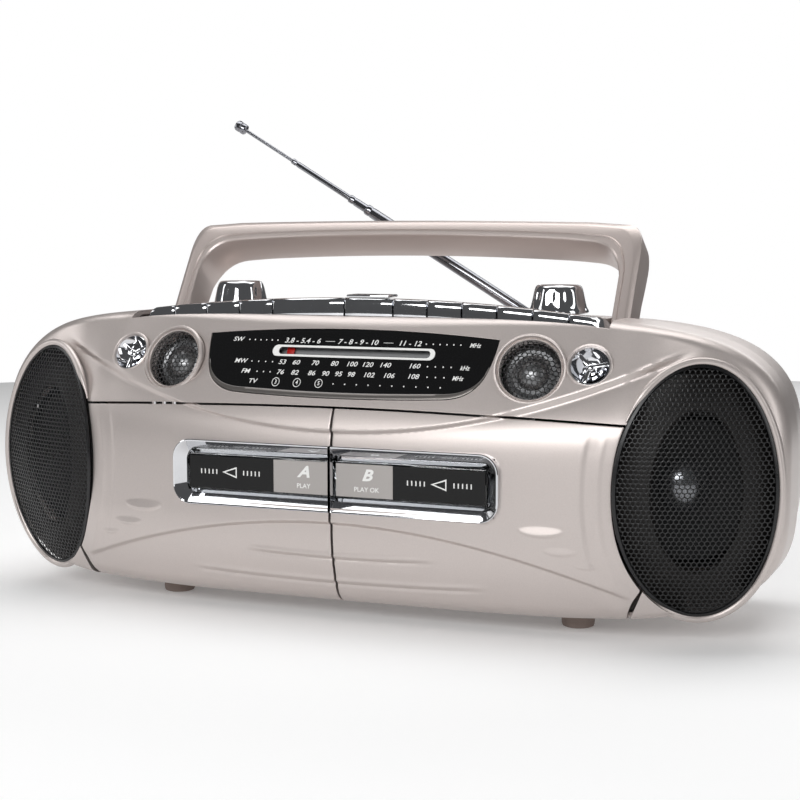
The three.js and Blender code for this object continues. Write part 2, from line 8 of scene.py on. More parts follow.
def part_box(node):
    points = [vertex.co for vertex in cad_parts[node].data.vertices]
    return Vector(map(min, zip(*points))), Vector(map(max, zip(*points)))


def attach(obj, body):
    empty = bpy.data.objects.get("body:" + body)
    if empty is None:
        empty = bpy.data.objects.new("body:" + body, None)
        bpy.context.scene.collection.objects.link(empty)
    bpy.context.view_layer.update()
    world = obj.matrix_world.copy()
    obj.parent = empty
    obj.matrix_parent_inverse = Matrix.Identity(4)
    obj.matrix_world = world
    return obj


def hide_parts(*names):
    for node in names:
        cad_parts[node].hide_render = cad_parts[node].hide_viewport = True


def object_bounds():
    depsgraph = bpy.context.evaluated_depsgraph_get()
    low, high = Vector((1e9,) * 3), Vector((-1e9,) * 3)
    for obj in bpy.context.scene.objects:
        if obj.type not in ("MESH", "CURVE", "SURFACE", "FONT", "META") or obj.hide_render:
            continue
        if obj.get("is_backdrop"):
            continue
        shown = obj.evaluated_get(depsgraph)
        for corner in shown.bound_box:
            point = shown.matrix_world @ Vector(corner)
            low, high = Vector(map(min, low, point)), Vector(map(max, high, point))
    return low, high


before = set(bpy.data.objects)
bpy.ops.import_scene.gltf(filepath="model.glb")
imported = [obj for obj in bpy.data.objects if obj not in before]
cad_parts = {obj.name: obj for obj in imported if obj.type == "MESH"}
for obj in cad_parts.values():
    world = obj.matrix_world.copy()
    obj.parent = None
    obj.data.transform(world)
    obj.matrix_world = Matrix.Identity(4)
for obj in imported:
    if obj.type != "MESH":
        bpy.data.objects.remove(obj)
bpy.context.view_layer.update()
scene = bpy.context.scene

# ---- camera ----
# A long lens a metre away, a little to the right of the set and just above its top deck. It
# is level but for a small dip.
CAMERA_PLACE = (0.38744, -0.93643, 0.22465)
CAMERA_TURN = math.radians(22)
CAMERA_DIP = math.radians(5.787)
LENS_MM = 75.48


def added(name, data):
    """Puts a camera, a light or a mesh into the scene."""
    thing = bpy.data.objects.new(name, data)
    scene.collection.objects.link(thing)
    return thing


lens = bpy.data.cameras.new("camera")
lens.sensor_width = 36
lens.lens = LENS_MM
camera = added("camera", lens)
camera.location = CAMERA_PLACE
camera.rotation_euler = (math.pi / 2 - CAMERA_DIP, 0, CAMERA_TURN)
scene.camera = camera


# ---- studio ----
# A matt white table in a white room, with large soft lights above, in front, behind and at both
# sides. The room itself gives little light, so that bright plating keeps its dark reflections.
def srgb(hex_colour):
    """A hex colour as linear red, green, blue and alpha."""
    levels = [int(hex_colour[i:i + 2], 16) / 255 for i in (1, 3, 5)]
    return [v / 12.92 if v <= 0.04045 else ((v + 0.055) / 1.055) ** 2.4 for v in levels] + [1]


def node(tree, kind, inputs=None, **settings):
    """Adds a node. An input given as another node's output is linked, any other is set."""
    made = tree.nodes.new(kind)
    for name, value in settings.items():
        setattr(made, name, value)
    for name, value in (inputs or {}).items():
        if isinstance(value, bpy.types.NodeSocket):
            tree.links.new(value, made.inputs[name])
        else:
            made.inputs[name].default_value = value
    return made


scene.view_settings.view_transform = "Standard"
room = bpy.data.worlds.new("studio")
room.use_nodes = True
tree = room.node_tree
tree.nodes.clear()
seen = node(tree, "ShaderNodeLightPath")
glow = node(tree, "ShaderNodeBackground", {"Color": srgb("#f4f5f7"), "Strength": 0.1})
wall = node(tree, "ShaderNodeBackground", {"Color": (1, 1, 1, 1), "Strength": 1.0})
both_walls = node(tree, "ShaderNodeMixShader", {
    0: seen.outputs["Is Camera Ray"], 1: glow.outputs[0], 2: wall.outputs[0]})
node(tree, "ShaderNodeOutputWorld", {"Surface": both_walls.outputs[0]})
scene.world = room

TABLE_RADIUS = 1.5


def as_mesh(made, name="shape"):
    """Stores a mesh that was being edited."""
    mesh = bpy.data.meshes.new(name)
    made.to_mesh(mesh)
    made.free()
    return mesh


disc = bmesh.new()
bmesh.ops.create_circle(disc, cap_ends=True, segments=96, radius=TABLE_RADIUS,
                        matrix=Matrix.Translation((0, 0.1, 0)))
table = added("table", as_mesh(disc, "table"))
# Matt white board: emulsion paint, rolled on. It has no shine, and glows a little like a lit sweep.
table_top = bpy.data.materials.new("matt_white_board")
table_top.use_nodes = True
for socket, value in (("Base Color", srgb("#f6f6f6")), ("Roughness", 0.9),
                      ("Emission Color", (1, 1, 1, 1)), ("Emission Strength", 0.12)):
    table_top.node_tree.nodes["Principled BSDF"].inputs[socket].default_value = value
table.data.materials.append(table_top)
table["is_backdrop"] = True


def softbox(name, place, size, power, aim=(0, 0, 0.1)):
    """An area light that faces a point."""
    light = bpy.data.lights.new(name, "AREA")
    light.shape = "RECTANGLE"
    light.size, light.size_y = size
    light.energy = power
    lamp = added(name, light)
    lamp.location = place
    lamp.rotation_euler = (Vector(aim) - Vector(place)).to_track_quat("-Z", "Y").to_euler()


softbox("overhead", (-0.1, 0.25, 1.3), (1.6, 0.8), 11)
softbox("front_panel", (0.0, -1.6, 0.8), (1.2, 0.5), 15)
softbox("right_side", (1.35, -0.35, 0.6), (0.4, 0.9), 3)
softbox("left_side", (-1.3, -0.4, 0.6), (0.4, 0.9), 3)
softbox("rear_fill", (0.2, 1.5, 0.9), (1.6, 0.7), 7)

# ---- front cabinet ----
# One ABS moulding with full round ends, painted satin champagne silver. It carries the
# speakers, the dial and the key row, and the cassette doors close its middle.
# From here on lengths are in millimetres: x to the right, y back and z up.
BEZEL_FRONT = -2.6
DEPTH_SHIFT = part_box("bezel_a")[0].y * 1000 - BEZEL_FRONT
TO_FRAME = Matrix.Scale(0.001, 4) @ Matrix.Translation((0, DEPTH_SHIFT, 0))
HALF_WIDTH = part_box("front_cabinet")[1].x * 1000
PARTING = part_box("front_cabinet")[1].y * 1000 - DEPTH_SHIFT
MID_HEIGHT = 93
MIDDLE = Vector((0, MID_HEIGHT))
RISE = 84
DROP = 82
SIDE_POWER, TOP_POWER, BOTTOM_POWER = 5.5, 3, 4  # of the superellipse that outlines the set
OUTLINE_STEPS = 1440
WALL = 2.6
EDGE_ROUND = 8
SEAM = 1.3
FIT = 0.4  # clearance round an insert
SPEAKER_X, SPEAKER_Z = 202.8, 85
SPEAKER_RX, SPEAKER_RZ = 41.6, 69
SPEAKER_TURN = math.radians(23)
TWEETER_AT, TWEETER_R, TWEETER_TILT = Vector((110.9, 20.2, 148.5)), 19.6, (22, 7)
REFLECTOR_AT, REFLECTOR_R, REFLECTOR_TILT = Vector((143.3, 25, 151.2)), 11.9, (28, 6)
SIDES = (("left", -1), ("right", 1))
BACKWARD = Vector((0, 1, 0))


def clamp(v):
    return min(1, max(0, v))


def ramp(t):
    return t * t * (3 - 2 * t)


def step(v, width):
    """Rises smoothly from 0 to 1 as v passes zero."""
    return ramp(clamp(v / width + 0.5))


def front_depth(x, z):
    """Depth of the plain face: tucked under below, leaning back above and swept back outwards."""
    reach = abs(x)
    belly = 0.0052 * (62 - z) ** 2 if z < 62 else 0
    above = z - 117
    fascia = 0.62 * (above + math.hypot(above, 12)) / 2
    past = reach - 165
    sweep = 8 * (reach / 170) ** 3 if past < 0 else 7.31 + 0.133 * past
    sweep += 0.292 * (past + math.hypot(past, 6)) / 2
    ease = 1 - 0.45 * ramp(clamp((reach - 150) / 55))
    return -0.8 + sweep + (belly + fascia) * ease


def on_face(x, z, proud=0.0):
    """A point of the face, or in front of it."""
    return Vector((x, front_depth(x, z) - proud, z))


def edge_lip(left):
    """How far the rounded edge has turned back, at a distance in from the outline."""
    inward = clamp(1 - left / EDGE_ROUND)
    return EDGE_ROUND * (1 - math.sqrt(1 - inward ** 2))


def circle(count):
    """Cosine and sine of evenly spaced turns."""
    return [(math.cos(i * math.tau / count), math.sin(i * math.tau / count)) for i in range(count)]


def smile(x, z):
    """The crease that hangs across the face: the part above it stands proud."""
    above = z - (111.6 + 0.00125 * x * x)
    up = step(above, 2.8 + 2.4 * ramp(clamp((abs(x) - 80) / 50)))
    proud = (1.6 + 0.8 * ramp(clamp(abs(x) / 150))) * up * math.exp(-max(above, 0) / 26)
    sunk = 1.1 * (1 - up) * math.exp(min(above, 0) / 9)
    return (proud - sunk) * (1 - ramp(clamp((abs(x) - 178) / 22)))


def elliptic(x, z):
    """Distance from the middle of the nearer speaker, 1 at the edge of its grille."""
    return math.hypot((abs(x) - SPEAKER_X) / SPEAKER_RX, (z - SPEAKER_Z) / SPEAKER_RZ)


def outline(count, side, top, bottom):
    """Points spaced evenly along the cabinet's outline, inset by the three amounts."""
    fine = []
    for c, s in circle(OUTLINE_STEPS) + [(1, 0)]:
        high = RISE - top if s > 0 else DROP - bottom
        x = (HALF_WIDTH - side) * math.copysign(abs(c) ** (2 / SIDE_POWER), c)
        z = high * math.copysign(abs(s) ** (2 / (TOP_POWER if s > 0 else BOTTOM_POWER)), s)
        fine.append(Vector((x, MID_HEIGHT + z)))
    run = [0]
    for a, b in zip(fine, fine[1:]):
        run.append(run[-1] + (b - a).length)
    points = []
    at = 0
    for k in range(count):
        goal = k / count * run[-1]
        while run[at + 1] < goal:
            at += 1
        points.append(fine[at].lerp(fine[at + 1], (goal - run[at]) / (run[at + 1] - run[at])))
    return points


def skin(rows, wrap=True, ends=False):
    """A sheet through rows of points. wrap closes each row, and ends fills the first and last."""
    across = len(rows[0]) if wrap else len(rows[0]) - 1
    made = bmesh.new()
    bmesh.ops.create_grid(made, x_segments=across, y_segments=len(rows) - 1, size=1)
    for n, v in enumerate(made.verts):
        j, i = divmod(n, across + 1)
        v.co = rows[j][i % len(rows[0])]
    bmesh.ops.remove_doubles(made, verts=made.verts, dist=1e-4)
    if ends:
        bmesh.ops.holes_fill(made, edges=[e for e in made.edges if e.is_boundary])
    if wrap:
        bmesh.ops.recalc_face_normals(made, faces=made.faces)
    return made


def prism(shape, y0, y1):
    """A closed outline of (x, z) points drawn back from y0 to y1."""
    return skin([[Vector((x, y, z)) for x, z in shape] for y in (y0, y1)], ends=True)


def block(x0, x1, y0, y1, z0, z1, bevel=0.0):
    """A box with its edges rounded."""
    made = bmesh.new()
    bmesh.ops.create_cube(made, size=1)
    bmesh.ops.scale(made, vec=(x1 - x0, y1 - y0, z1 - z0), verts=made.verts)
    bmesh.ops.translate(made, vec=((x0 + x1) / 2, (y0 + y1) / 2, (z0 + z1) / 2), verts=made.verts)
    if bevel:
        rounded(made, bevel)
    return made


def rounded(made, width, angle=30, segments=2):
    """Rounds every edge sharper than an angle."""
    sharp = [e for e in made.edges if e.is_manifold and e.calc_face_angle(0) > math.radians(angle)]
    bmesh.ops.bevel(made, geom=sharp, offset=width, affect="EDGES", segments=segments,
                    profile=0.5, material=-1)
    return made


def placed(made, matrix):
    """Moves a mesh by a matrix."""
    bmesh.ops.transform(made, matrix=matrix, verts=made.verts)
    return made


def aimed(at, axis):
    """The matrix that stands a Z axis along another, at a point."""
    turn = Vector((0, 0, 1)).rotation_difference(Vector(axis))
    return Matrix.Translation(at) @ turn.to_matrix().to_4x4()


def turned(profile, at=(0, 0, 0), axis=(0, 0, 1), steps=48):
    """A profile of (radius, height) pairs spun about an axis through a point."""
    made = bmesh.new()
    verts = [made.verts.new((r, 0, h)) for r, h in profile]
    edges = [made.edges.new(pair) for pair in zip(verts, verts[1:])]
    bmesh.ops.spin(made, geom=verts + edges, cent=(0, 0, 0), axis=(0, 0, 1), angle=math.tau,
                   steps=steps, use_merge=True)
    bmesh.ops.remove_doubles(made, verts=made.verts, dist=1e-3)
    bmesh.ops.recalc_face_normals(made, faces=made.faces)
    return placed(made, aimed(at, axis))


def rod(radius, low, high, at, axis=(0, 0, 1), steps=48):
    """A plain cylinder about an axis through a point, which bores a hole when it is cut away."""
    return turned([(0, low), (radius, low), (radius, high), (0, high)], at, axis, steps)


def joined(parts):
    """Several meshes as one."""
    whole = bmesh.new()
    for part in parts:
        mesh = as_mesh(part)
        whole.from_mesh(mesh)
        bpy.data.meshes.remove(mesh)
    return whole


def evaluated(thing):
    """An object's shape once its modifiers have run, as a mesh to edit."""
    shaped = thing.evaluated_get(bpy.context.evaluated_depsgraph_get())
    made = bmesh.new()
    made.from_mesh(shaped.to_mesh())
    shaped.to_mesh_clear()
    return made


def carved(solid, *tools):
    """A closed mesh cut by others in turn."""
    for tool in tools:
        pair = [added("carving", as_mesh(part)) for part in (solid, tool)]
        cut = pair[0].modifiers.new("cut", "BOOLEAN")
        cut.object = pair[1]
        cut.operation = "DIFFERENCE"
        cut.solver = "MANIFOLD"
        solid = evaluated(pair[0])
        for thing in pair:
            mesh = thing.data
            bpy.data.objects.remove(thing)
            bpy.data.meshes.remove(mesh)
    return solid


def finish(name, colour, roughness, grain, relief=0.0, mottle=0.05, edge=0.0, **sockets):
    """A surface whose colour, gloss and height vary a little. grain is the size of the texture,
    relief its height and edge the softness of corners, all in millimetres."""
    made = bpy.data.materials.new(name)
    made.use_nodes = True
    tree = made.node_tree
    shader = tree.nodes["Principled BSDF"]
    place = node(tree, "ShaderNodeTexCoord")
    noise = node(tree, "ShaderNodeTexNoise", {
        "Vector": place.outputs["Object"], "Scale": 1000 / grain, "Detail": 2.0})
    tint = [[v * k for v in srgb(colour)[:3]] + [1] for k in (1 - mottle, 1 + mottle)]
    shade = node(tree, "ShaderNodeMix", {
        0: noise.outputs["Fac"], 6: tint[0], 7: tint[1]}, data_type="RGBA")
    gloss = node(tree, "ShaderNodeMapRange", {
        "Value": noise.outputs["Fac"], "To Min": roughness * (1 - 2 * mottle),
        "To Max": roughness * (1 + 2 * mottle)})
    bump = node(tree, "ShaderNodeBump", {
        "Height": noise.outputs["Fac"], "Distance": relief / 1000, "Strength": 1.0 if relief else 0.0})
    if edge:
        soft = node(tree, "ShaderNodeBevel", {"Radius": edge / 1000}, samples=4)
        tree.links.new(soft.outputs[0], bump.inputs["Normal"])
    tree.links.new(shade.outputs[2], shader.inputs["Base Color"])
    tree.links.new(gloss.outputs[0], shader.inputs["Roughness"])
    tree.links.new(bump.outputs[0], shader.inputs["Normal"])
    for socket, value in sockets.items():
        shader.inputs[socket.replace("_", " ")].default_value = value
    return made


def piece(name, made, material, body, stands_for=(), crease=35, wall=0.0, bevel=0.0):
    """Hands over a mesh as a named piece. wall thickens an open sheet and bevel rounds edges."""
    mesh = as_mesh(placed(made, TO_FRAME), name)
    mesh.materials.append(material)
    mesh.shade_smooth()
    mesh.set_sharp_from_angle(angle=math.radians(crease))
    thing = added(name, mesh)
    if wall:
        shell = thing.modifiers.new("wall", "SOLIDIFY")
        shell.thickness = wall / 1000
        shell.offset = -1
    if bevel:
        edges = thing.modifiers.new("edges", "BEVEL")
        edges.width = bevel / 1000
        edges.segments = 2
        edges.angle_limit = math.radians(45)
    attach(thing, body)
    if stands_for:
        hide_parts(*stands_for)
    return thing


# Satin metallic lacquer sprayed on ABS: aluminium flake under a half-gloss clear gives soft wide
# highlights. The flake is about 0.05 mm, and is drawn far coarser so that it shows.
champagne_lacquer = finish("champagne_flake_lacquer", "#c9c0bc", 0.4, grain=0.7, relief=0.005,
                           mottle=0.07, edge=0.4, Metallic=0.7, Coat_Weight=0.12,
                           Coat_Roughness=0.25)

AROUND = 520
FACE_ROWS = 125
ROUND_ROWS = 7
SIDE_ROWS = 5

rim = outline(AROUND, 0, 0, 0)
rows = []
for k in range(FACE_ROWS + ROUND_ROWS + 1):
    row = []
    for p in rim:
        out = p - MIDDLE
        if k <= FACE_ROWS:
            left = EDGE_ROUND + (out.length - EDGE_ROUND) * (1 - k / FACE_ROWS)
        else:
            left = EDGE_ROUND * (1 - math.sin((k - FACE_ROWS) / ROUND_ROWS * math.pi / 2))
        q = MIDDLE + out * (1 - left / out.length)
        row.append(on_face(q.x, q.y, smile(q.x, q.y) - edge_lip(left)))
    rows.append(row)
turned_back = rows[-1]
for k in range(1, SIDE_ROWS + 1):
    rows.append([p.lerp(Vector((p.x, PARTING, p.z)), k / SIDE_ROWS) for p in turned_back])
rows.append([Vector((0, PARTING, MID_HEIGHT))] * AROUND)
cabinet = skin(rows)

inner_rim = outline(96, WALL, WALL, WALL)
rows = []
for share in (0, 0.2, 0.4, 0.58, 0.73, 0.85, 0.94, 1):
    row = []
    for p in inner_rim:
        q = MIDDLE.lerp(p, share)
        row.append(on_face(q.x, q.y, -WALL - edge_lip((p - q).length)))
    rows.append(row)
rows.append([Vector((p.x, PARTING + 1, p.y)) for p in inner_rim])
rows.append([Vector((0, PARTING + 1, MID_HEIGHT))] * len(inner_rim))
cabinet = carved(cabinet, skin(rows))

DOOR_FOOT_X, DOOR_FOOT_Z = 166.3, 11.8
DOOR_CORNER_DROP = 53.2  # from the speaker's middle to where the door leaves its ellipse


def seam_height(x):
    """Height of the seam above the cassette doors."""
    return 124.2 - 4.1 * (x / 166) ** 2


def door_outline(side, grow):
    """A cassette door reaches from the middle seam to the grille's ellipse."""
    rx, rz = SPEAKER_RX * 1.02 - grow, SPEAKER_RZ * 1.02 - grow
    start = math.asin((seam_height(166) + grow - SPEAKER_Z) / rz)
    stop = math.asin(-DOOR_CORNER_DROP / rz)
    points = [(-1, 0)] + [(x, seam_height(x) + grow) for x in range(-1, 166, 15)]
    for i in range(49):
        angle = start + (stop - start) * i / 48
        points.append((SPEAKER_X - rx * math.cos(angle), SPEAKER_Z + rz * math.sin(angle)))
    points += [(DOOR_FOOT_X + grow, DOOR_FOOT_Z), (161 + grow, 0)]
    return [(side * x, z) for x, z in points]


def quadratic(a, b, c, count):
    """Points of a curve from a to c that leans towards b, without its last point."""
    a, b, c = Vector(a), Vector(b), Vector(c)
    return [a.lerp(b, i / count).lerp(b.lerp(c, i / count), i / count) for i in range(count)]


def dial_outline(grow):
    """The dial is wide at the top, with swept sides and a bowed lower edge."""
    high, waist, low = [(x + grow, z) for x, z in ((90, 163.4), (84.8, 142), (64, 131.4))]
    high = (high[0], high[1] + grow)
    low = (low[0], low[1] - grow)
    right = quadratic(low, (waist[0] - 6, low[1] + 1), waist, 10)
    right += quadratic(waist, (waist[0] + 4, waist[1] + 8), high, 12)
    top = quadratic(high, (0, 171.6 + grow), (-high[0], high[1]), 40)
    left = [Vector((-p.x, p.y)) for p in [Vector(high)] + right[:0:-1]]
    bottom = quadratic((-low[0], low[1]), (0, 128.2 - grow), low, 30)
    return right + top + left + bottom


def fascia_axis(side, tilt):
    """An axis that looks forwards, tilted up and outwards by degrees."""
    up, out = (math.radians(angle) for angle in tilt)
    return Vector((side * math.sin(out), -math.cos(out) * math.cos(up), math.sin(up)))


def on_side(point, side):
    """A point of the right-hand half, or its mirror image."""
    return Vector((point.x * side, point.y, point.z))


DIAL_BACK = 37
DOOR_DEPTH = 30
CHANNEL_X = 150.4
cuts = [prism(dial_outline(FIT), -6, DIAL_BACK), block(-CHANNEL_X, CHANNEL_X, 38, 80, 150, 190)]
for name, side in SIDES:
    cuts.append(prism(door_outline(side, SEAM), -20, DOOR_DEPTH + SEAM))
    plug = prism([(side * (SPEAKER_X + (SPEAKER_RX + FIT) * c), SPEAKER_Z + (SPEAKER_RZ + FIT) * s)
                  for c, s in circle(120)], -3, 42)
    for v in plug.verts:
        v.co.y += (abs(v.co.x) - SPEAKER_X) * math.tan(SPEAKER_TURN)
    cuts.append(plug)
    cuts.append(rod(TWEETER_R + FIT, -25, 25, on_side(TWEETER_AT, side),
                    fascia_axis(side, TWEETER_TILT), 72))
    cuts.append(rod(REFLECTOR_R + FIT, -20, 20, on_side(REFLECTOR_AT, side),
                    fascia_axis(side, REFLECTOR_TILT), 60))
cabinet = carved(cabinet, *cuts)


def grille_surface(side, u, v, back=0.0):
    """The grille's dome: swept back like the cabinet and wrapped back at top and bottom."""
    spread = (u / SPEAKER_RX) ** 2 + (v / SPEAKER_RZ) ** 2
    swept = u * math.tan(SPEAKER_TURN) + 10 * (v / SPEAKER_RZ) ** 2
    return Vector((side * (SPEAKER_X + u), 22.5 + swept - 7 * (1 - spread) + back, SPEAKER_Z + v))


def speaker_bead(side):
    """The round lip of the moulding that runs round the grille wherever no door meets it."""
    rows = []
    for i in range(121):
        angle = math.radians(-127 + i / 120 * 274)
        c, s = math.cos(angle), math.sin(angle)
        middle = grille_surface(side, (SPEAKER_RX + 1.0) * c, (SPEAKER_RZ + 1.0) * s)
        out = Vector((side * c / SPEAKER_RX, 0, s / SPEAKER_RZ)).normalized()
        taper = 0.3 + 0.7 * ramp(clamp(min(i, 120 - i) / 8))
        rows.append([middle + out * 2.2 * taper * across
                     + BACKWARD * (2.4 * taper * deep + 0.9 + 1.5 * (1 - taper))
                     for across, deep in circle(12)])
    return skin(rows, ends=True)


cabinet = joined([cabinet] + [speaker_bead(side) for name, side in SIDES])
piece("front_cabinet_shell", cabinet, champagne_lacquer, "chassis", ["front_cabinet"])

# ---- rear cabinet ----
# The second ABS moulding, screwed to the front one from behind. It is stepped in a little at
# the joint, and a ledge along its top rear edge holds the folded aerial.
REAR_RINGS = [  # depth, and how far the sides, top and bottom draw in there
    (PARTING + 0.3, 3, 1.5, 1), (110, 5.5, 2.5, 1.5), (145, 9, 4, 2.5), (157, 11, 6, 5),
    (162, 12.8, 8.5, 8), (165.5, 16, 12.5, 12), (167, 20, 17, 17)]
LEDGE_Y, LEDGE_Z = 154.5, 142.6
REAR_AROUND = 260


def rear_solid(wall, first_depth):
    """The rear moulding's outside when wall is 0, and else its inside that far in."""
    rings = []
    for (ya, *ia), (yb, *ib) in zip(REAR_RINGS, REAR_RINGS[1:]):
        for k in range(4):
            t = k / 4
            rings.append((ya + (yb - ya) * t, [a + (b - a) * t + wall for a, b in zip(ia, ib)]))
    rings.append((REAR_RINGS[-1][0], [v + wall for v in REAR_RINGS[-1][1:]]))
    rows = []
    for k, (y, inset) in enumerate(rings):
        depth = first_depth if k == 0 else y - (wall if y > 150 else 0)
        rows.append([Vector((p.x, depth, p.y)) for p in outline(REAR_AROUND, *inset)])
    poles = [[Vector((0, y, MID_HEIGHT))] * REAR_AROUND for y in (first_depth, rows[-1][0].y)]
    solid = skin([poles[0], *rows, poles[1]])
    return carved(solid, block(-300, 300, LEDGE_Y - wall, 200, LEDGE_Z - wall, 200))


BATTERY_X, BATTERY_Z0, BATTERY_Z1 = 125, 33, 101
INLET_X, INLET_Z = -190, 42
KNOB_AT = Vector((104.6, 94.6, 176.2))
SCREWS = [(x, z) for x in (-205, -150, 150, 205) for z in (52, 128)]
cabinet = carved(rear_solid(0, PARTING + 0.3), rear_solid(WALL, PARTING - 1))
cuts = [block(-BATTERY_X, BATTERY_X, 150, 180, BATTERY_Z0, BATTERY_Z1),
        block(INLET_X - 12.4, INLET_X + 12.4, 150, 180, INLET_Z - 8.4, INLET_Z + 8.4)]
for name, side in SIDES:
    x0, x1 = sorted((side * 137, side * 151))
    cuts.append(block(x0, x1, 66, 113, 155, 190))
    cuts.append(rod(4.2, -14, 14, on_side(KNOB_AT, side), steps=32))
    for i in range(9):
        x = side * (146 + i * 8)
        cuts.append(block(x - 1.5, x + 1.5, 160, 175, 76, 112))
for x, z in SCREWS:
    cuts.append(rod(4, 0, 20, (x, 161.5, z), BACKWARD, 24))
cabinet = carved(cabinet, *cuts)
piece("rear_cabinet_shell", cabinet, champagne_lacquer, "chassis", ["rear_cabinet"])

# The fixings are self-tapping screws with cross recesses, each at the bottom of a cup.
# Zinc-plated steel: electroplated and passivated. It has a soft grey shine, slightly clouded.
zinc_plate = finish("zinc_plated_steel", "#a3a4a6", 0.34, grain=1.5, relief=0.003, mottle=0.08,
                    Metallic=1.0)
cups = []
heads = []
for x, z in SCREWS:
    cups.append(turned([(0, 0.4), (3.9, 0.4), (3.9, 4.6), (4.6, 4.6), (4.6, -0.6), (0, -0.6)],
                       (x, 161, z), BACKWARD, 24))
    head = turned([(0, -1), (2.9, -1), (3, 0.4), (2.4, 1.4), (1.2, 1.9), (0, 2)], (x, 161.9, z),
                  BACKWARD, 24)
    cross = [block(x - long / 2, x + long / 2, 162.9, 165, z - wide / 2, z + wide / 2)
             for long, wide in ((3.2, 0.7), (0.7, 3.2))]
    heads.append(carved(head, *cross))
piece("screw_heads", joined(heads), zinc_plate, "chassis")
piece("screw_cups", joined(cups), champagne_lacquer, "chassis")

# ---- battery door ----
# A flat lid of the same lacquered ABS, with moulded grip ribs by its two latches. It turns on its
# lower edge and clips shut at the top.
lid = block(-BATTERY_X + FIT, BATTERY_X - FIT, 164.6, 166.6, BATTERY_Z0 + FIT, BATTERY_Z1 - FIT)
tabs = [rounded(lid, 0.5)]
for side in (-1, 1):
    for i in range(6):
        z = 84 + i * 2.2
        tabs.append(block(side * 70 - 9, side * 70 + 9, 166, 167, z - 0.6, z + 0.6, 0.25))
    tabs.append(block(side * 70 - 12, side * 70 + 12, 166.2, 166.9, 80.4, 81.6, 0.2))
piece("battery_lid", joined(tabs), champagne_lacquer, "battery_lid",
      ["battery_door"])

# ---- cassette doors ----
# Each door is a thin curved moulding in the body lacquer, hinged at its foot. Its face carries two
# creases, shallow speed lines, three leaf-shaped bumps and a ridge that follows the speaker.
DECKS = (("a", -1), ("b", 1))
DOOR_X0 = 0.75
DOOR_ACROSS = 170
DOOR_UP = 170
WINDOW_HOLE = (0.5, 97.5, 68.4, 101)
LEAVES = ((123, 62.7, 12.5), (133.9, 52.2, 9.5), (147.6, 44.7, 6.5))


def belly_height(x):
    """Height of the cabinet's lower outline."""
    c = (abs(x) / HALF_WIDTH) ** 2.75
    return MID_HEIGHT - DROP * math.sqrt(math.sqrt(1 - c * c))


def door_edge(z):
    """Outer edge of a door at a height."""
    corner = SPEAKER_Z - DOOR_CORNER_DROP
    rx, rz = SPEAKER_RX * 1.02, SPEAKER_RZ * 1.02
    if z >= corner:
        return SPEAKER_X - rx * math.sqrt(max(0, 1 - ((z - SPEAKER_Z) / rz) ** 2))
    low = SPEAKER_X - rx * math.sqrt(1 - (DOOR_CORNER_DROP / rz) ** 2)
    wide_gap = 1.4 * ramp(clamp((corner - z) / 8))
    return DOOR_FOOT_X + (low - DOOR_FOOT_X) * (z - DOOR_FOOT_Z) / (corner - DOOR_FOOT_Z) - wide_gap


def outward_sheet(made, towards):
    """Turns an open sheet so that its faces look the given way."""
    made.normal_update()
    if sum(f.normal.dot(towards) for f in made.faces) < 0:
        bmesh.ops.reverse_faces(made, faces=made.faces)
    return made


def door_relief(x, z):
    """How far a door's face stands proud of its plain depth."""
    proud = smile(x, z)
    above = z - (59.6 - 0.00115 * x * x)
    up = step(above, 2.6)
    arch = 1.6 * up * math.exp(-max(above, 0) / 24) - 1.5 * (1 - up) * math.exp(min(above, 0) / 18)
    proud += arch * (1 - ramp(clamp((abs(x) - 160) / 12)))
    for line, bend, x0, x1 in ((39.3, 0.00045, -59, 65), (24.4, 0.00027, -95, 93)):
        off = z - line - bend * x * x
        fade = ramp(clamp((x - x0) / 18)) * ramp(clamp((x1 - x) / 18))
        proud += fade * 0.7 * math.exp(-((off - 1.3) / 1.4) ** 2)
        proud -= fade * 0.8 * math.exp(-((off + 0.9) / 1.1) ** 2)
    for lx, lz, half in LEAVES:
        along = (abs(x) - lx) / half
        if abs(along) < 1:
            tall = 0.24 * half * math.sqrt(1 - along * along) + 0.01
            across = (z - lz - 0.5 * along * along) / tall
            if -1.4 < across < 1:
                proud += 0.17 * tall * (1 - across) * step(across + 1, 0.6)
    reach = elliptic(x, z)
    fade = ramp(clamp((z - 14) / 26)) * ramp(clamp((122 - z) / 16))
    proud -= fade * 0.6 * step(1.39 - reach, 0.08)
    proud += fade * 0.35 * math.exp(-((reach - 1.2) * SPEAKER_RX / 1.6) ** 2)
    return proud


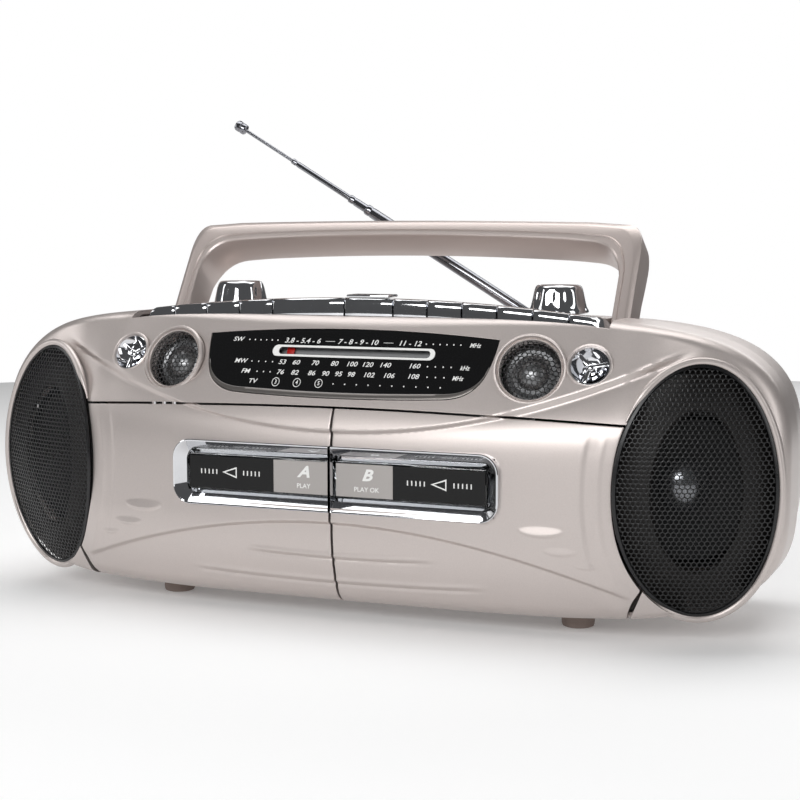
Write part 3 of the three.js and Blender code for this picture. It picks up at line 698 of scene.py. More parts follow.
for deck, side in DECKS:
    rows = []
    for j in range(DOOR_UP + ROUND_ROWS + 1):
        row = []
        for i in range(DOOR_ACROSS + 1):
            x, z = 80, 60
            for settle in range(6):  # each depends on the other, and they soon agree
                low, high = belly_height(x), seam_height(x)
                if j <= ROUND_ROWS:
                    z = low + EDGE_ROUND * (1 - math.cos(j / ROUND_ROWS * math.pi / 2))
                else:
                    z = low + EDGE_ROUND + (high - low - EDGE_ROUND) * (j - ROUND_ROWS) / DOOR_UP
                x = DOOR_X0 + (door_edge(z) - DOOR_X0) * i / DOOR_ACROSS
            lip = edge_lip(z - belly_height(x))
            row.append(on_face(side * x, z, door_relief(side * x, z) - lip))
        rows.append(row)
    rows.insert(0, [Vector((p.x, max(24, p.y + 2), p.z)) for p in rows[0]])
    if side > 0:
        rows = [row[::-1] for row in rows]
    door = skin(rows, wrap=False)
    x0, x1, z0, z1 = WINDOW_HOLE
    hidden = [f for f in door.faces if x0 < side * f.calc_center_median().x < x1
              and z0 < f.calc_center_median().z < z1]
    bmesh.ops.delete(door, geom=hidden, context="FACES")
    piece(f"cassette_door_{deck}_panel", outward_sheet(door, -BACKWARD), champagne_lacquer,
          f"door_{deck}", [f"cassette_door_{deck}"], wall=WALL, bevel=0.4)

# ---- cassette windows ----
# A chrome-plated surround with sloping walls, and in it a clear acrylic box with a printed
# front: black by the reels, grey under the deck's letter.
# Bright chrome: electroplate on polished ABS. It mirrors the room with almost no blur.
bright_chrome = finish("bright_chrome_plate", "#dcdde0", 0.055, grain=9, mottle=0.05, Metallic=1.0)
# Clear acrylic: injection-moulded against a polished tool, so it is clear with sharp reflections.
clear_acrylic = finish("polished_clear_acrylic", "#f2f4f5", 0.03, grain=14, mottle=0.03,
                       Transmission_Weight=1.0, IOR=1.49)
# Gloss black print: screen ink under clear varnish, a deep black with a faint shine.
black_print = finish("gloss_black_print", "#080809", 0.16, grain=6, mottle=0.1,
                     Specular_IOR_Level=0.3)
# Silver-grey print: metallic screen ink under a clear film, pale and matt below a sharp shine.
grey_print = finish("silver_grey_print", "#a9a4a1", 0.4, grain=0.6, mottle=0.05, Metallic=0.2,
                    Coat_Weight=0.5, Coat_Roughness=0.06)
# White print: opaque screen ink, dried matt. It gives crisp light lines.
white_print = finish("white_screen_print", "#e9e9e7", 0.5, grain=0.8, mottle=0.03)


def rounded_rectangle(x0, x1, z0, z1, left, right, y):
    """A loop of points with one radius at its left corners and one at its right."""
    loop = []
    for quarter, (x, z, r) in enumerate((
            (x1 - right, z1 - right, right), (x0 + left, z1 - left, left),
            (x0 + left, z0 + left, left), (x1 - right, z0 + right, right))):
        for k in range(9):
            turn = math.radians(quarter * 90 + k / 8 * 90)
            loop.append(Vector((x + r * math.cos(turn), y, z + r * math.sin(turn))))
    return loop


UPRIGHT = Matrix.Rotation(math.pi / 2, 4, "X")  # turns a flat drawing to face forwards


def lettering(text, size, x, z, y=0.0, slant=0.0, wide=1.0, bold=0.0):
    """Flat letters that face forwards, centred on a point."""
    curve = bpy.data.curves.new("letters", "FONT")
    curve.body = text
    curve.size = size
    curve.shear = slant
    curve.align_x = curve.align_y = "CENTER"
    curve.resolution_u = 3
    curve.offset = bold * size
    thing = added("letters", curve)
    made = evaluated(thing)
    bpy.data.objects.remove(thing)
    bpy.data.curves.remove(curve)
    widened = Matrix.Diagonal((wide, 1, 1, 1))
    return placed(made, Matrix.Translation((x, y, z)) @ UPRIGHT @ widened)


def plate(x0, x1, z0, z1, y):
    """A thin printed film."""
    return block(x0, x1, y, y + 0.12, z0, z1)


OUTER_R, INNER_R = 11, 0.4
LABEL_END = 37
LABELS = {"a": ("PLAY", 18, -84), "b": ("PLAY OK", 21, 45.5)}  # word, its place, start of the dashes
FILM_Y, MARK_Y, DASH_Y = 2.45, 2.4, 2.35
for deck, side in DECKS:
    word, middle, start = LABELS[deck]

    def ring(near, far, z0, z1, outer_r, y):
        x0, x1 = sorted((side * near, side * far))
        radii = (outer_r, INNER_R) if side < 0 else (INNER_R, outer_r)
        return rounded_rectangle(x0, x1, z0, z1, *radii, y)

    rows = [ring(0.75, 99.9, 65.9, 103.5, OUTER_R, 2.6),
            ring(0.7, 100.3, 65.6, 103.8, OUTER_R, -1.4),
            ring(0.75, 100.2, 65.7, 103.7, OUTER_R, -2.1),
            ring(0.8, 99.8, 66.1, 103.3, OUTER_R - 0.4, -2.4),
            ring(0.85, 99.2, 66.8, 102.6, OUTER_R - 1, -2.2),
            ring(0.95, 93.4, 73.2, 95.6, 4.4, 4.6),
            ring(1.0, 92.8, 73.7, 95.1, 4, 5.2),
            ring(1.0, 92.8, 73.7, 95.1, 4, 7.0),
            ring(0.75, 97.6, 68.3, 101.1, 5, 7.0)]
    surround = skin(rows)
    bmesh.ops.bridge_loops(surround, edges=[e for e in surround.edges if e.is_boundary])
    bmesh.ops.recalc_face_normals(surround, faces=surround.faces)
    piece(f"window_surround_{deck}", surround, bright_chrome, f"door_{deck}",
          [f"bezel_{deck}"], 28)

    pane = block(*sorted((side * 1.3, side * 92.4)), 2.6, 6.6, 74, 94.8, 0.9)
    piece(f"window_pane_{deck}", pane, clear_acrylic, f"door_{deck}",
          [f"window_{deck}"])

    def film(near, far, z0, z1):
        return plate(*sorted((side * near, side * far)), z0, z1, FILM_Y)

    piece(f"window_mask_{deck}", film(LABEL_END, 91.4, 75, 93.8), black_print, f"door_{deck}")
    piece(f"window_label_{deck}", film(2.3, LABEL_END - 0.1, 75, 93.8), grey_print, f"door_{deck}")
    marks = [lettering(deck.upper(), 9, side * middle, 87.4, MARK_Y, 0.35, 1.15, 0.035),
             lettering(word, 3.8, side * middle, 79.4, MARK_Y, bold=0.012)]
    for i in range(10):
        x = start + i * 2.5 + (15 if i > 4 else 0)
        marks.append(plate(x, x + 0.7, 83.4, 86.2, DASH_Y))
    tip, level = start + 14, 84.8
    arrow = [[Vector((tip + a, DASH_Y, level)), Vector((tip + b, DASH_Y, level + c)),
              Vector((tip + b, DASH_Y, level - c))] for a, b, c in ((0, 9.4, 3.3), (1.9, 8.7, 2.2))]
    marks.append(skin(arrow))
    piece(f"window_marks_{deck}", joined(marks), white_print, f"door_{deck}")

# ---- cassette works ----
# Behind each door are a matt black pocket, a zinc-plated mechanism plate and two moulded reel
# spindles with three splines each, pressed on their shafts. They show when a door is open.
# Matt black ABS: moulded against a spark-eroded tool. Its grain of 0.1 mm, drawn coarser, is dull.
black_abs = finish("matt_black_abs", "#1b1b1c", 0.55, grain=1.2, relief=0.02, mottle=0.12)
DECK_X, REEL_OFFSET = 53.4, 21.25
REEL = [(0, 0), (1.5, 0), (1.5, 14), (10.5, 14), (10.5, 16), (4.2, 16.4), (4.2, 25.4), (2.6, 27.8),
        (0, 28)]


def refinished(name, material):
    """Gives a CAD part that is shown as it is its real finish."""
    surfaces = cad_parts[name].data.materials
    surfaces.clear()
    surfaces.append(material)


def spun(count, first, make):
    """Copies of a mesh spaced evenly about the Z axis, from an angle on."""
    return [placed(make(), Matrix.Rotation(first + k * math.tau / count, 4, "Z")) for k in range(count)]


for deck, side in DECKS:
    refinished(f"cassette_holder_{deck}", black_abs)
    refinished(f"tape_mechanism_{deck}", zinc_plate)
    for i, offset in ((1, -REEL_OFFSET), (2, REEL_OFFSET)):
        x = side * DECK_X + side * offset
        splines = spun(3, 0, lambda: block(3.6, 5.6, -0.7, 0.7, 17, 25.5, 0.25))
        hub = placed(joined([turned(REEL, steps=24)] + splines), aimed((x, 40, 77), -BACKWARD))
        piece(f"reel_spindle_{deck}{i}", hub, black_abs, f"spindle_{deck}{i}_hub",
              [f"spindle_{deck}{i}"])

# ---- tuning dial ----
# A gloss black acrylic scale, screen-printed in white, with a slot in which the red pointer
# travels over a silvered strip. A bevel strip runs along its lower edge, and its grey is a painted
# reflection.
# Gloss black acrylic: cast sheet, printed black behind. It gives deep, sharp dark reflections.
gloss_black = finish("gloss_black_acrylic", "#060607", 0.07, grain=12, mottle=0.15, Coat_Weight=1.0,
                     Coat_Roughness=0.03)
DIAL_CORNER_Z = 163.4
SLOT = (-43, 51, 153.1, 156.9)
DIAL_PLATE = 2.6


def dial_low(x):
    """Lower edge of the dial at a place across it."""
    lower = sorted((p.x, p.y) for p in dial_outline(0) if p.y < DIAL_CORNER_Z + 0.1)
    for (xa, za), (xb, zb) in zip(lower, lower[1:]):
        if xa <= x <= xb and xb > xa:
            return za + (zb - za) * (x - xa) / (xb - xa)
    return DIAL_CORNER_Z


def dial_high(x):
    """Upper edge of the dial at a place across it."""
    t = (x + 90) / 180
    return DIAL_CORNER_Z + 16.4 * t * (1 - t)


columns = [90 * math.sin(math.pi / 2 * (i / 60 - 1)) for i in range(121)]
edges = [(x, dial_low(x), dial_high(x)) for x in columns]
rows = [[on_face(x, low + (high - low) * j / 16) for x, low, high in edges] for j in range(17)]
rows += [[p + BACKWARD * DIAL_PLATE for p in row] for row in rows[::-1]]
scale = skin(rows + rows[:1], wrap=False)
bmesh.ops.holes_fill(scale, edges=[e for e in scale.edges if e.is_boundary])
bmesh.ops.recalc_face_normals(scale, faces=scale.faces)
slot_loops = [rounded_rectangle(*SLOT, 2.0, 2.0, y) for y in (-5, 60)]
scale = carved(scale, skin(slot_loops, ends=True))
piece("dial_window", scale, gloss_black, "chassis", ["dial_scale"])


def laid_on_face(made, proud):
    """Lays flat print on the leaning face."""
    for v in made.verts:
        v.co.y = front_depth(v.co.x, v.co.z) - proud
    return made


# Heights of the four scales, and the places of their words and numbers across the dial.
SW_Z, MW_Z, FM_Z, TV_Z = 160.6, 148.5, 142.9, 137.5
SHORT_WAVE = (("3.8 - 5.4 - 6", -29.5), ("7 - 8 - 9 - 10", 5.5), ("11 - 12", 37.5))
MEDIUM_WAVE = (("53", -39.2), ("60", -30.4), ("70", -18.3), ("80", -6.1), ("100", 4.7), ("120", 14.4),
               ("140", 25.2), ("160", 43))
VHF = (("76", -39), ("82", -29.7), ("86", -19), ("90", -10.4), ("95", -2.2), ("98", 5.6), ("102", 16.6),
       ("106", 28.8), ("108", 43.5))
DOT_ROWS = ((SW_Z, -64, -45.5, 6), (SW_Z, 47.5, 68, 6), (MW_Z, -59, -45.5, 4), (MW_Z, 51, 65, 4),
            (FM_Z, -54, -45.5, 3), (FM_Z, 52, 62, 3), (TV_Z, -4, 61, 10))
prints = [lettering(text, 3.9, x, SW_Z, slant=0.2, wide=1.25, bold=0.012) for text, x in SHORT_WAVE]
prints += [plate(x - 3, x + 3, 160.5, 160.85, 0) for x in (-11.8, 24.5)]
for label, x, z in (("SW", -71.5, SW_Z), ("MW", -66.4, MW_Z), ("FM", -61.6, FM_Z), ("TV", -55.5, TV_Z)):
    prints.append(lettering(label, 3.4, x, z, slant=0.2, wide=1.3, bold=0.015))
for label, x, z in (("MHz", 76.5, 160.4), ("kHz", 73, 148.2), ("MHz", 70, 142.6)):
    prints.append(lettering(label, 3.3, x, z, slant=0.25, bold=0.015))
for numbers, z in ((MEDIUM_WAVE, MW_Z), (VHF, FM_Z)):
    prints += [lettering(text, 3.6, x, z, slant=0.2, wide=1.3, bold=0.012) for text, x in numbers]
for text, x in zip("345", (-40.4, -26.9, -13.1)):
    prints.append(lettering(text, 3.2, x, TV_Z, bold=0.01))
    prints.append(skin([[Vector((x + r * c, 0, TV_Z + r * s)) for c, s in circle(24)]
                        for r in (2.1, 2.45)]))
for z, x0, x1, count in DOT_ROWS:
    for i in range(count):
        dot = bmesh.new()
        bmesh.ops.create_circle(dot, cap_ends=True, segments=8, radius=0.42)
        prints.append(placed(dot, Matrix.Translation((x0 + (x1 - x0) * i / (count - 1), 0, z)) @ UPRIGHT))
x0, x1, z0, z1 = SLOT
inner = rounded_rectangle(x0 - 0.1, x1 + 0.1, z0 - 0.1, z1 + 0.1, 2.0, 2.0, 0)
outer = rounded_rectangle(x0 - 4.2, x1 + 3, z0 - 1.25, z1 + 1.25, 3.2, 3.2, 0)
frame_print = skin([inner, outer])
bmesh.ops.subdivide_edges(frame_print, edges=[e for e in frame_print.edges if e.calc_length() > 20],
                          cuts=24, use_grid_fill=True)
prints.append(frame_print)
piece("dial_print", laid_on_face(joined(prints), 0.06), white_print, "chassis")

# Silver strip: aluminium ink printed on card, with a broad dull sheen.
silver_strip = finish("silver_printed_strip", "#a3a4a6", 0.5, grain=3, mottle=0.1, Metallic=0.2)
corners = ((148, -7.2), (159, -7.2), (159, -7.8), (148, -7.8), (148, -7.2))
strip_rows = [[on_face(x, z, proud) for x in range(-50, 60, 6)] for z, proud in corners]
strip = skin(strip_rows, wrap=False, ends=True)
bmesh.ops.recalc_face_normals(strip, faces=strip.faces)
piece("dial_strip", strip, silver_strip, "chassis")

# Red ABS: moulded in its own colour against a plain tool, half glossy.
red_abs = finish("red_moulded_abs", "#d0201a", 0.3, grain=2, mottle=0.05)
needle = block(-40.2, -35.4, -0.5, 0.5, 150.6, 159.2, 0.3)
for v in needle.verts:
    v.co.y += front_depth(38, 155) + 5.4 + 0.5 * (v.co.z - 155)
piece("pointer_needle", needle, red_abs, "pointer", ["dial_pointer"])

# Grey bevel strip: the black lens's lower edge, given a dark metallic grey that is a painted reflection.
# It takes one soft highlight.
painted_reflection_bevel = finish("grey_bevel_painted_reflection", "#6f6b68", 0.3, grain=1, relief=0.003, mottle=0.05, Metallic=0.6)
columns = [-87 + i * 1.5 for i in range(117)]
trim_rows = []
for share, proud in ((0, -0.8), (0, 0.35), (0.25, 0.6), (0.85, 0.45), (1, -0.4)):
    trim_rows.append([on_face(x, dial_low(x) + 0.1 + share * 3.2 * (1 - 0.6 * (abs(x) / 90) ** 6), proud)
                      for x in columns])
trim = outward_sheet(skin(trim_rows, wrap=False), -BACKWARD)
piece("dial_trim", trim, painted_reflection_bevel, "chassis", wall=0.5)

# ---- bass speakers ----
# Behind each black perforated steel grille sits a cone driver: a pressed steel basket, a black
# paper cone with a rolled edge, and a bright dust cap.
# Black enamel: stoved on punched steel, so that the edge of each hole takes a small highlight.
black_enamel = finish("black_enamelled_steel", "#0e0e10", 0.3, grain=2, mottle=0.15, Metallic=0.2,
                      Coat_Weight=0.2, Coat_Roughness=0.2)
# Black paper: felted pulp, pressed to shape. It is dull; its 0.1 mm fibres are drawn coarser.
paper = finish("pressed_black_paper", "#19191a", 0.8, grain=0.8, relief=0.05, mottle=0.2)
# Bright dust cap: spun aluminium under lacquer, with a soft round highlight.
bright_cap = finish("bright_dust_cap", "#9a9ca0", 0.2, grain=5, mottle=0.08, Metallic=0.9)
# Dark ABS: moulded and finely grained, so the gap round the cone stays dark.
dark_baffle = finish("dark_brown_abs", "#1d1a19", 0.6, grain=1.2, relief=0.02, mottle=0.1)
GRILLE_PITCH = 2.75
GRILLE_WEB = 0.34
CONE_DEPTH = 16


def perforated(pitch, web, inside, across, up):
    """Hexagonal cells that share their walls, with a hole left in each. Drawn flat in X and Y."""
    made = bmesh.new()
    radius = pitch / math.sqrt(3)
    row_step = 1.5 * radius
    for j in range(-int(up / row_step) - 1, int(up / row_step) + 2):
        for i in range(-int(across / pitch) - 1, int(across / pitch) + 2):
            x, y = (i + (j % 2) / 2) * pitch, j * row_step
            if inside(x, y):
                bmesh.ops.create_circle(made, cap_ends=True, segments=6, radius=radius,
                                        matrix=Matrix.Translation((x, y, 0)))
    bmesh.ops.remove_doubles(made, verts=made.verts, dist=radius * 0.05)
    cells = list(made.faces)
    bmesh.ops.inset_individual(made, faces=cells, thickness=web, depth=0)
    bmesh.ops.delete(made, geom=cells, context="FACES_ONLY")
    return made


CONE = [(0, -27), (7, -27), (29.5, -8), (36, -8), (38.2, -4.2), (39.6, -1.6), (38.4, 0.6), (36.5, 1.3),
        (34.6, 0.4), (33, -1.6), (31, -3.2), (29, -4.4), (24, -8.4), (18, -13.2), (12.5, -17.6),
        (0, -17.6)]
CAP = [(0, -18.4), (15.6, -18), (15.4, -16.2), (13.6, -13.4), (10.6, -11), (7, -9.2), (3.2, -8.3),
       (0, -8.1)]
for name, side in SIDES:
    def within(u, v):
        return math.hypot(u / (SPEAKER_RX - 1.2), v / (SPEAKER_RZ - 1.2)) < 1

    mesh_sheet = perforated(GRILLE_PITCH, GRILLE_WEB, within, SPEAKER_RX, SPEAKER_RZ)
    for v in mesh_sheet.verts:
        v.co = grille_surface(side, v.co.x, v.co.y, 0.5)
    outward_sheet(mesh_sheet, -BACKWARD)
    rows = [[grille_surface(side, (SPEAKER_RX - inset) * c, (SPEAKER_RZ - inset) * s, back)
             for c, s in circle(140)]
            for inset, back in ((0, 1.9), (0, 0.3), (0.6, -0.2), (2.0, -0.1), (2.6, 0.6))]
    hoop = outward_sheet(skin(rows), -BACKWARD)
    piece(f"speaker_grille_{name}", joined([mesh_sheet, hoop]), black_enamel, "chassis",
          [f"grille_{name}"], wall=0.5)
    outward = Vector((side * math.sin(SPEAKER_TURN), -math.cos(SPEAKER_TURN), 0))
    seat = Vector((side * SPEAKER_X, 22.5, SPEAKER_Z)) - outward * CONE_DEPTH
    piece(f"speaker_cone_{name}", turned(CONE, seat, outward, 64), paper, "chassis",
          [f"woofer_cone_{name}"])
    piece(f"dust_cap_{name}", turned(CAP, seat, outward, 48), bright_cap, "chassis")
    refinished(f"woofer_frame_{name}", black_enamel)
    rings = [[grille_surface(side, SPEAKER_RX * across * c, SPEAKER_RZ * up * s, back)
              for c, s in circle(96)]
             for across, up, back in ((0.99, 0.99, 6), (0.56, 0.65, 6), (0.53, 0.62, 7.5))]
    baffle = outward_sheet(skin(rings), -BACKWARD)
    piece(f"speaker_baffle_{name}", baffle, dark_baffle, "chassis", wall=0.6)

# ---- tweeters and reflectors ----
# Small treble units under black perforated domes, each in a double lip in the body lacquer, and
# beside each a chromed dish with three spokes in a plain lip. All press in from the front.
TWEETER_LIP = [(18, -6), (19.6, -6), (19.6, 0.4), (20.7, 0.3), (20.6, 1.4), (19.9, 2.1), (19.1, 2.1),
               (18.6, 1.4), (18.3, 0.2), (18, 0.5), (17.6, 0.9), (17.2, 0.5), (17.1, -0.6), (17.1, -6),
               (18, -6)]
for name, side in SIDES:
    at, axis = on_side(TWEETER_AT, side), fascia_axis(side, TWEETER_TILT)
    piece(f"tweeter_lip_{name}", turned(TWEETER_LIP, at, axis, 72), champagne_lacquer, "chassis",
          [f"tweeter_ring_{name}"])

    def within(u, v):
        return math.hypot(u, v) < 16.7

    dome = perforated(2.9, GRILLE_WEB, within, 18, 18)
    for v in dome.verts:
        v.co.z = 3.4 - 4.2 * (v.co.to_2d().length / 16.8) ** 2
    dome = outward_sheet(placed(dome, aimed(at, axis)), axis)
    piece(f"tweeter_mesh_{name}", dome, black_enamel, "chassis",
          [f"tweeter_{name}"], wall=0.4)
    unit = [(0, -14), (16.6, -14), (16.6, -9), (14, -8), (11.4, -8.8), (9.6, -8.2), (8.2, -6),
            (5.8, -4.2), (3, -3.2), (0, -2.8)]
    piece(f"tweeter_unit_{name}", turned(unit, at, axis, 48), zinc_plate, "chassis")

    at, axis = on_side(REFLECTOR_AT, side), fascia_axis(side, REFLECTOR_TILT)
    bowl = [(0, -9), (5, -9), (11, -3), (11.2, 0.2), (10.4, 0.5), (9.6, -1.2), (7.6, -4), (4.6, -6),
            (0, -6.6)]
    boss = [(0, -7), (3.2, -5.5), (2.9, -2.4), (1.8, -1.2), (0, -0.8)]
    spokes = spun(3, math.radians(20), lambda: rounded(block(1.5, 10.2, -1.3, 1.3, -7, -1.2), 0.6))
    dish = joined([turned(bowl, steps=60), turned(boss, steps=30)] + spokes)
    dish = placed(dish, aimed(at, axis))
    piece(f"reflector_dish_{name}", dish, bright_chrome, "chassis", [f"reflector_{name}"], 60)
    lip = [(11.2, -3), (11.9, -3), (11.9, 0.4), (12.9, 0.4), (12.8, 1.2), (12.2, 1.6), (11.6, 1.4),
           (11.2, 0.6), (11.2, -3)]
    piece(f"reflector_lip_{name}", turned(lip, at, axis, 60), champagne_lacquer, "chassis")

# ---- key row ----
# Ten chrome-plated piano keys and a fixed cover in one arched row. Each is a bar with a crowned
# top and a bevelled front edge, in a channel floored by a bed in the body lacquer.
KEY_GAP = 0.9
KEY_DEEP = 16


def key_top(x):
    """Height of the row, highest in the middle."""
    return 185.5 - 8.8 * (x / 143) ** 2


KEY_SECTION = ((39.6, -16), (39.1, -9), (39, -3.4), (39.5, -1.7), (40.6, -0.5), (42.4, 0), (50, -0.3),
               (57, -1.3), (61.5, -3.2), (63.6, -6.4), (64, -16))


def key_bar(x0, x1, slope_left=0.0, slope_right=0.0):
    """One bar. A slope draws in the top of that end, in millimetres."""
    rows = []
    for k in range(5):
        row = []
        for y, h in KEY_SECTION:
            rise = (h + KEY_DEEP) / KEY_DEEP
            a = x0 + slope_left * rise ** 2
            b = x1 - slope_right * rise ** 2
            x = a + (b - a) * k / 4
            row.append(Vector((x, y, key_top(x) + h)))
        rows.append(row)
    return rounded(skin(rows, ends=True), 0.35, 50)


KEY_SETS = (("a", -143, 22, 4), ("b", 22, 21, 6))  # deck, left end, pitch and number of its keys
for deck, start, width, count in KEY_SETS:
    for i in range(count):
        x0 = start + i * width + KEY_GAP / 2
        left = 7 if (deck, i) == ("a", 0) else 0
        right = 6 if (deck, i) == ("b", count - 1) else 0
        bar = key_bar(x0, x0 + width - KEY_GAP, left, right)
        piece(f"piano_key_{deck}{i + 1}", bar, bright_chrome, f"key_{deck}{i + 1}_lever",
              [f"key_{deck}{i + 1}"], 28)
cover = joined([key_bar(-55 + KEY_GAP / 2, -9), key_bar(-9 + KEY_GAP, 22 - KEY_GAP / 2)])
piece("key_row_cover", cover, bright_chrome, "chassis", ["key_cover"], 28)

slider = block(-8, 18.5, 40.6, 56, key_top(0) + 0.2, key_top(0) + 1.8, 0.7)
piece("function_slider", slider, bright_chrome, "switch", ["function_switch"], 28)

refinished("key_bed", champagne_lacquer)

# ---- knobs ----
# Volume and tuning: chrome-plated ABS, flared at the skirt, with finger flutes and a dished cap.
# Each is pushed on to a shaft that comes up through the top deck.
KNOB = [(0.01, -15, 0), (3, -15, 0), (3, 0, 0), (16.9, 0, 0), (17.7, 0.6, 0), (17.6, 1.6, 0),
        (17.1, 2.4, 0), (16.6, 3.4, 0.05), (16.1, 5.5, 0.25), (15.3, 8.5, 0.4), (14.6, 12, 0.4),
        (14.1, 14, 0.2), (13.6, 15.2, 0.05), (12.8, 16.1, 0), (11.8, 16.4, 0), (10.8, 15.9, 0),
        (10, 15.2, 0), (0.01, 15, 0)]
FLUTES = 10
for name, side in (("volume", -1), ("tuning", 1)):
    rows = [[Vector((c, s, 0)) * (r + flute * math.cos(FLUTES * k * math.tau / 180)) + Vector((0, 0, h))
             for k, (c, s) in enumerate(circle(180))] for r, h, flute in KNOB]
    mark = block(-0.7, 0.7, -11, -4, 15, 15.8, 0.2)
    knob = placed(joined([skin(rows, ends=True), mark]), Matrix.Translation(on_side(KNOB_AT, side)))
    piece(f"{name}_knob_cap", knob, bright_chrome, name, [f"{name}_knob"], 40)

# ---- carrying handle ----
# A one-piece ABS arch, pivoted inside the cabinet. Its front has a crisp chamfer along the outer
# edge, and small nubs across the top stop the grip from slipping.
# Bronze lacquer: the body's sprayed finish with browner, finer flake, for soft warm highlights.
bronze_lacquer = finish("bronze_flake_lacquer", "#d0c4bf", 0.36, grain=0.5, relief=0.004, mottle=0.04,
                        Metallic=0.65, Coat_Weight=0.1, Coat_Roughness=0.25)
LEAN = math.radians(31.5)
HANDLE_PIVOT = (0, 80, 144)
OUTER, INNER = 149.5, 138.5
# Section of the arch: a runs from its inside (-1) to its outside (1), b from front to back.
ARCH_SECTION = ((-1, -0.84), (-0.93, -0.95), (-0.82, -1), (-0.5, -1), (-0.42, -1.06), (-0.34, -1),
                (0.36, -1), (0.46, -0.985), (0.82, -0.86), (0.95, -0.8), (1, -0.7), (1, 0.8),
                (0.96, 0.92), (0.86, 0.98), (0.7, 1), (-0.7, 1), (-0.86, 0.98), (-0.96, 0.92), (-1, 0.8))


def grip_top(x):
    """Height of the grip over the pivot."""
    return 96.6 - 1.4 * (x / 118) ** 2


def arch_stations():
    """Inside and outside points of the right half of the arch, from its foot to the middle."""
    inside = [Vector((INNER, h)) for h in (-11, 5, 20, 36)]
    outside = [Vector((OUTER, h)) for h in (-11, 8, 28, 48, 62, 67)]
    inside += quadratic((INNER, 58), (INNER - 3, 77.5), (119, 79.8), 10)
    inside += quadratic((119, 79.8), (109, 81), (100, 81.6), 4)
    outside += quadratic((OUTER, 72), (OUTER, 92), (OUTER - 9, 93.4), 8)
    outside += quadratic((OUTER - 9, 93.4), (OUTER - 18, 94), (118, 95.2), 4)
    for i in range(17):
        t = i / 16
        xi, xo = 100 * (1 - t), 118 * (1 - t)
        inside.append(Vector((xi, 84.55 - 2.95 * (xi / 100) ** 2)))
        outside.append(Vector((xo, grip_top(xo))))
    return list(zip(inside, outside))


def handle_back(h):
    """Depth of the arch's back: thin at the feet and full at the grip."""
    return 11 + 5 * ramp(clamp((h - 30) / 50))


half = arch_stations()
stations = [(Vector((-i.x, i.y)), Vector((-o.x, o.y))) for i, o in half[:-1]] + half[::-1]
rows = []
for inside, outside in stations:
    middle, reach = (inside + outside) / 2, (outside - inside) / 2
    back = handle_back(middle.y)
    row = []
    for a, b in ARCH_SECTION:
        p = middle + reach * a
        row.append(Vector((p.x, (back - 11) / 2 + b * (back + 11) / 2, p.y)))
    rows.append(row)
arch = [skin(rows, ends=True)]
for x in range(-84, 85, 12):
    arch.append(block(x - 0.7, x + 0.7, -4, 15, grip_top(x) - 0.6, grip_top(x) + 0.4, 0.3))
arch = placed(joined(arch), Matrix.Translation(HANDLE_PIVOT) @ Matrix.Rotation(-LEAN, 4, "X"))
piece("handle_arch", arch, bronze_lacquer, "carry_handle", ["handle"], 28)

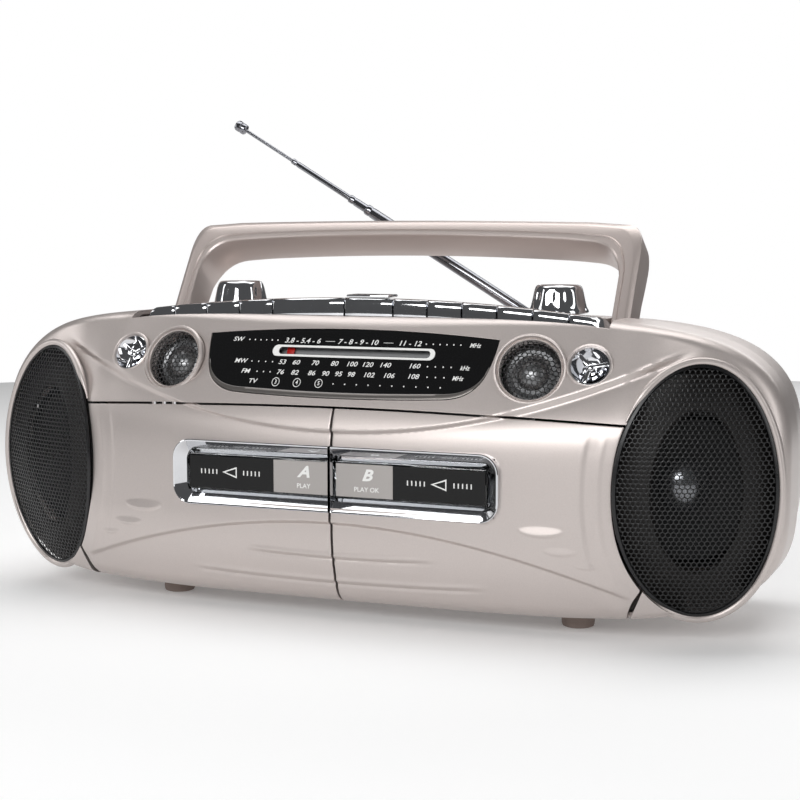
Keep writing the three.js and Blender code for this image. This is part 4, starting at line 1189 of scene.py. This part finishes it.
# ---- telescopic aerial ----
# Four brass tubes, each rolled in at its mouth over the next, with a turned tip. A zinc-plated
# swivel holds the flattened foot.
# Chromed brass: drawn through a die, then plated, so that its mirror is a little blurred.
drawn_chrome = finish("chromed_drawn_brass", "#8b8c91", 0.17, grain=3, mottle=0.08, Metallic=1.0)
PIVOT = Vector((97, 162, 152))
RISE_ANGLE = math.radians(31)
ALONG = Vector((-math.cos(RISE_ANGLE), 0, math.sin(RISE_ANGLE)))
TUBES = (("mast", 9, 167.5, 3.6, 3.1), ("second", 31.6, 181.5, 2.7, 2.2), ("third", 90, 230, 1.9, 1.4),
         ("tip", 144, 278, 1.1, 0))
for i, (body, start, stop, r, hollow) in enumerate(TUBES):
    long = stop - start
    if hollow:
        profile = [(0, 0), (r - 0.3, 0), (r, 0.5), (r, long - 5), (r - 0.25, long - 4.4),
                   (r - 0.25, long - 3.6), (r, long - 3), (r, long - 0.8), (r - 0.2, long - 0.2),
                   (hollow + 0.05, long), (hollow, long - 0.6), (hollow, 2), (0, 2)]
    else:
        profile = [(0, 0), (r, 0), (r, long - 8.4), (1.6, long - 8), (3.3, long - 7.6), (3.6, long - 7),
                   (3.6, long - 5), (3.2, long - 4.6), (3.2, long - 4.2), (3.6, long - 3.8),
                   (3.6, long - 1.2), (3, long - 0.3), (1.8, long), (0, long)]
    tube = turned(profile, PIVOT + ALONG * start, ALONG, 28)
    if i == 0:
        lie = Matrix.Translation(PIVOT) @ Matrix.Rotation(RISE_ANGLE, 4, "Y")
        tube = joined([tube, placed(block(-12, 3, -2, 2, -2.8, 2.8, 0.8), lie)])
    piece(f"aerial_{body}_tube", tube, drawn_chrome, f"aerial_{body}", [f"aerial_tube_{i + 1}"])

post = [(0, -8.8), (4.6, -8.8), (4.9, -8.5), (4.9, -5.9), (4.6, -5.6), (0, -5.6)]
ears = [block(-3, 3, y, y + 2, -6.5, 3, 0.6) for y in (-4.4, 2.4)]
swivel = placed(joined([turned(post, steps=32)] + ears), Matrix.Translation(PIVOT))
piece("aerial_swivel_base", swivel, zinc_plate, "aerial_foot", ["aerial_base"])

# ---- feet, inlet and works ----
# Four rubber feet pushed into the underside, the mains inlet and battery tray in dark plastic,
# and the board and transformer, screwed down inside.
# Grey rubber: moulded against a blasted tool, dull with a fine grain, drawn coarser.
foot_rubber = finish("moulded_grey_rubber", "#9a8b84", 0.75, grain=0.9, relief=0.03, mottle=0.1)
# Green board: fibre sheet under screened solder resist, half glossy.
board_lacquer = finish("green_board_lacquer", "#2b5738", 0.35, grain=4, mottle=0.15)
FOOT_X = 129.5
for name, side in SIDES:
    for end, y, top in (("front", 56, 11.2), ("rear", 140, 12.6)):
        profile = [(0, 0.4), (4, 0.4), (4.4, 0), (8, 0), (8.9, 0.4), (9.3, 1.4), (9.5, 3), (9.5, top),
                   (0, top)]
        foot = turned(profile, (side * FOOT_X, y, 0), steps=40)
        piece(f"rubber_foot_{end}_{name}", foot, foot_rubber, "chassis",
              [f"foot_{end}_{name}"])
for name, material in (("battery_tray", black_abs), ("mains_inlet", black_abs),
                       ("main_board", board_lacquer), ("transformer", zinc_plate)):
    refinished(name, material)
pin = [(0, 0), (1.1, 0), (1.1, 6.4), (0.5, 7), (0, 7)]
pins = [turned(pin, (INLET_X + x, 154.8, INLET_Z), BACKWARD, 16) for x in (-3.6, 3.6)]
piece("inlet_pins", joined(pins), zinc_plate, "chassis")

# ---- bounds ----
# The box round all that is shown, the table apart, in metres.
low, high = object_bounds()
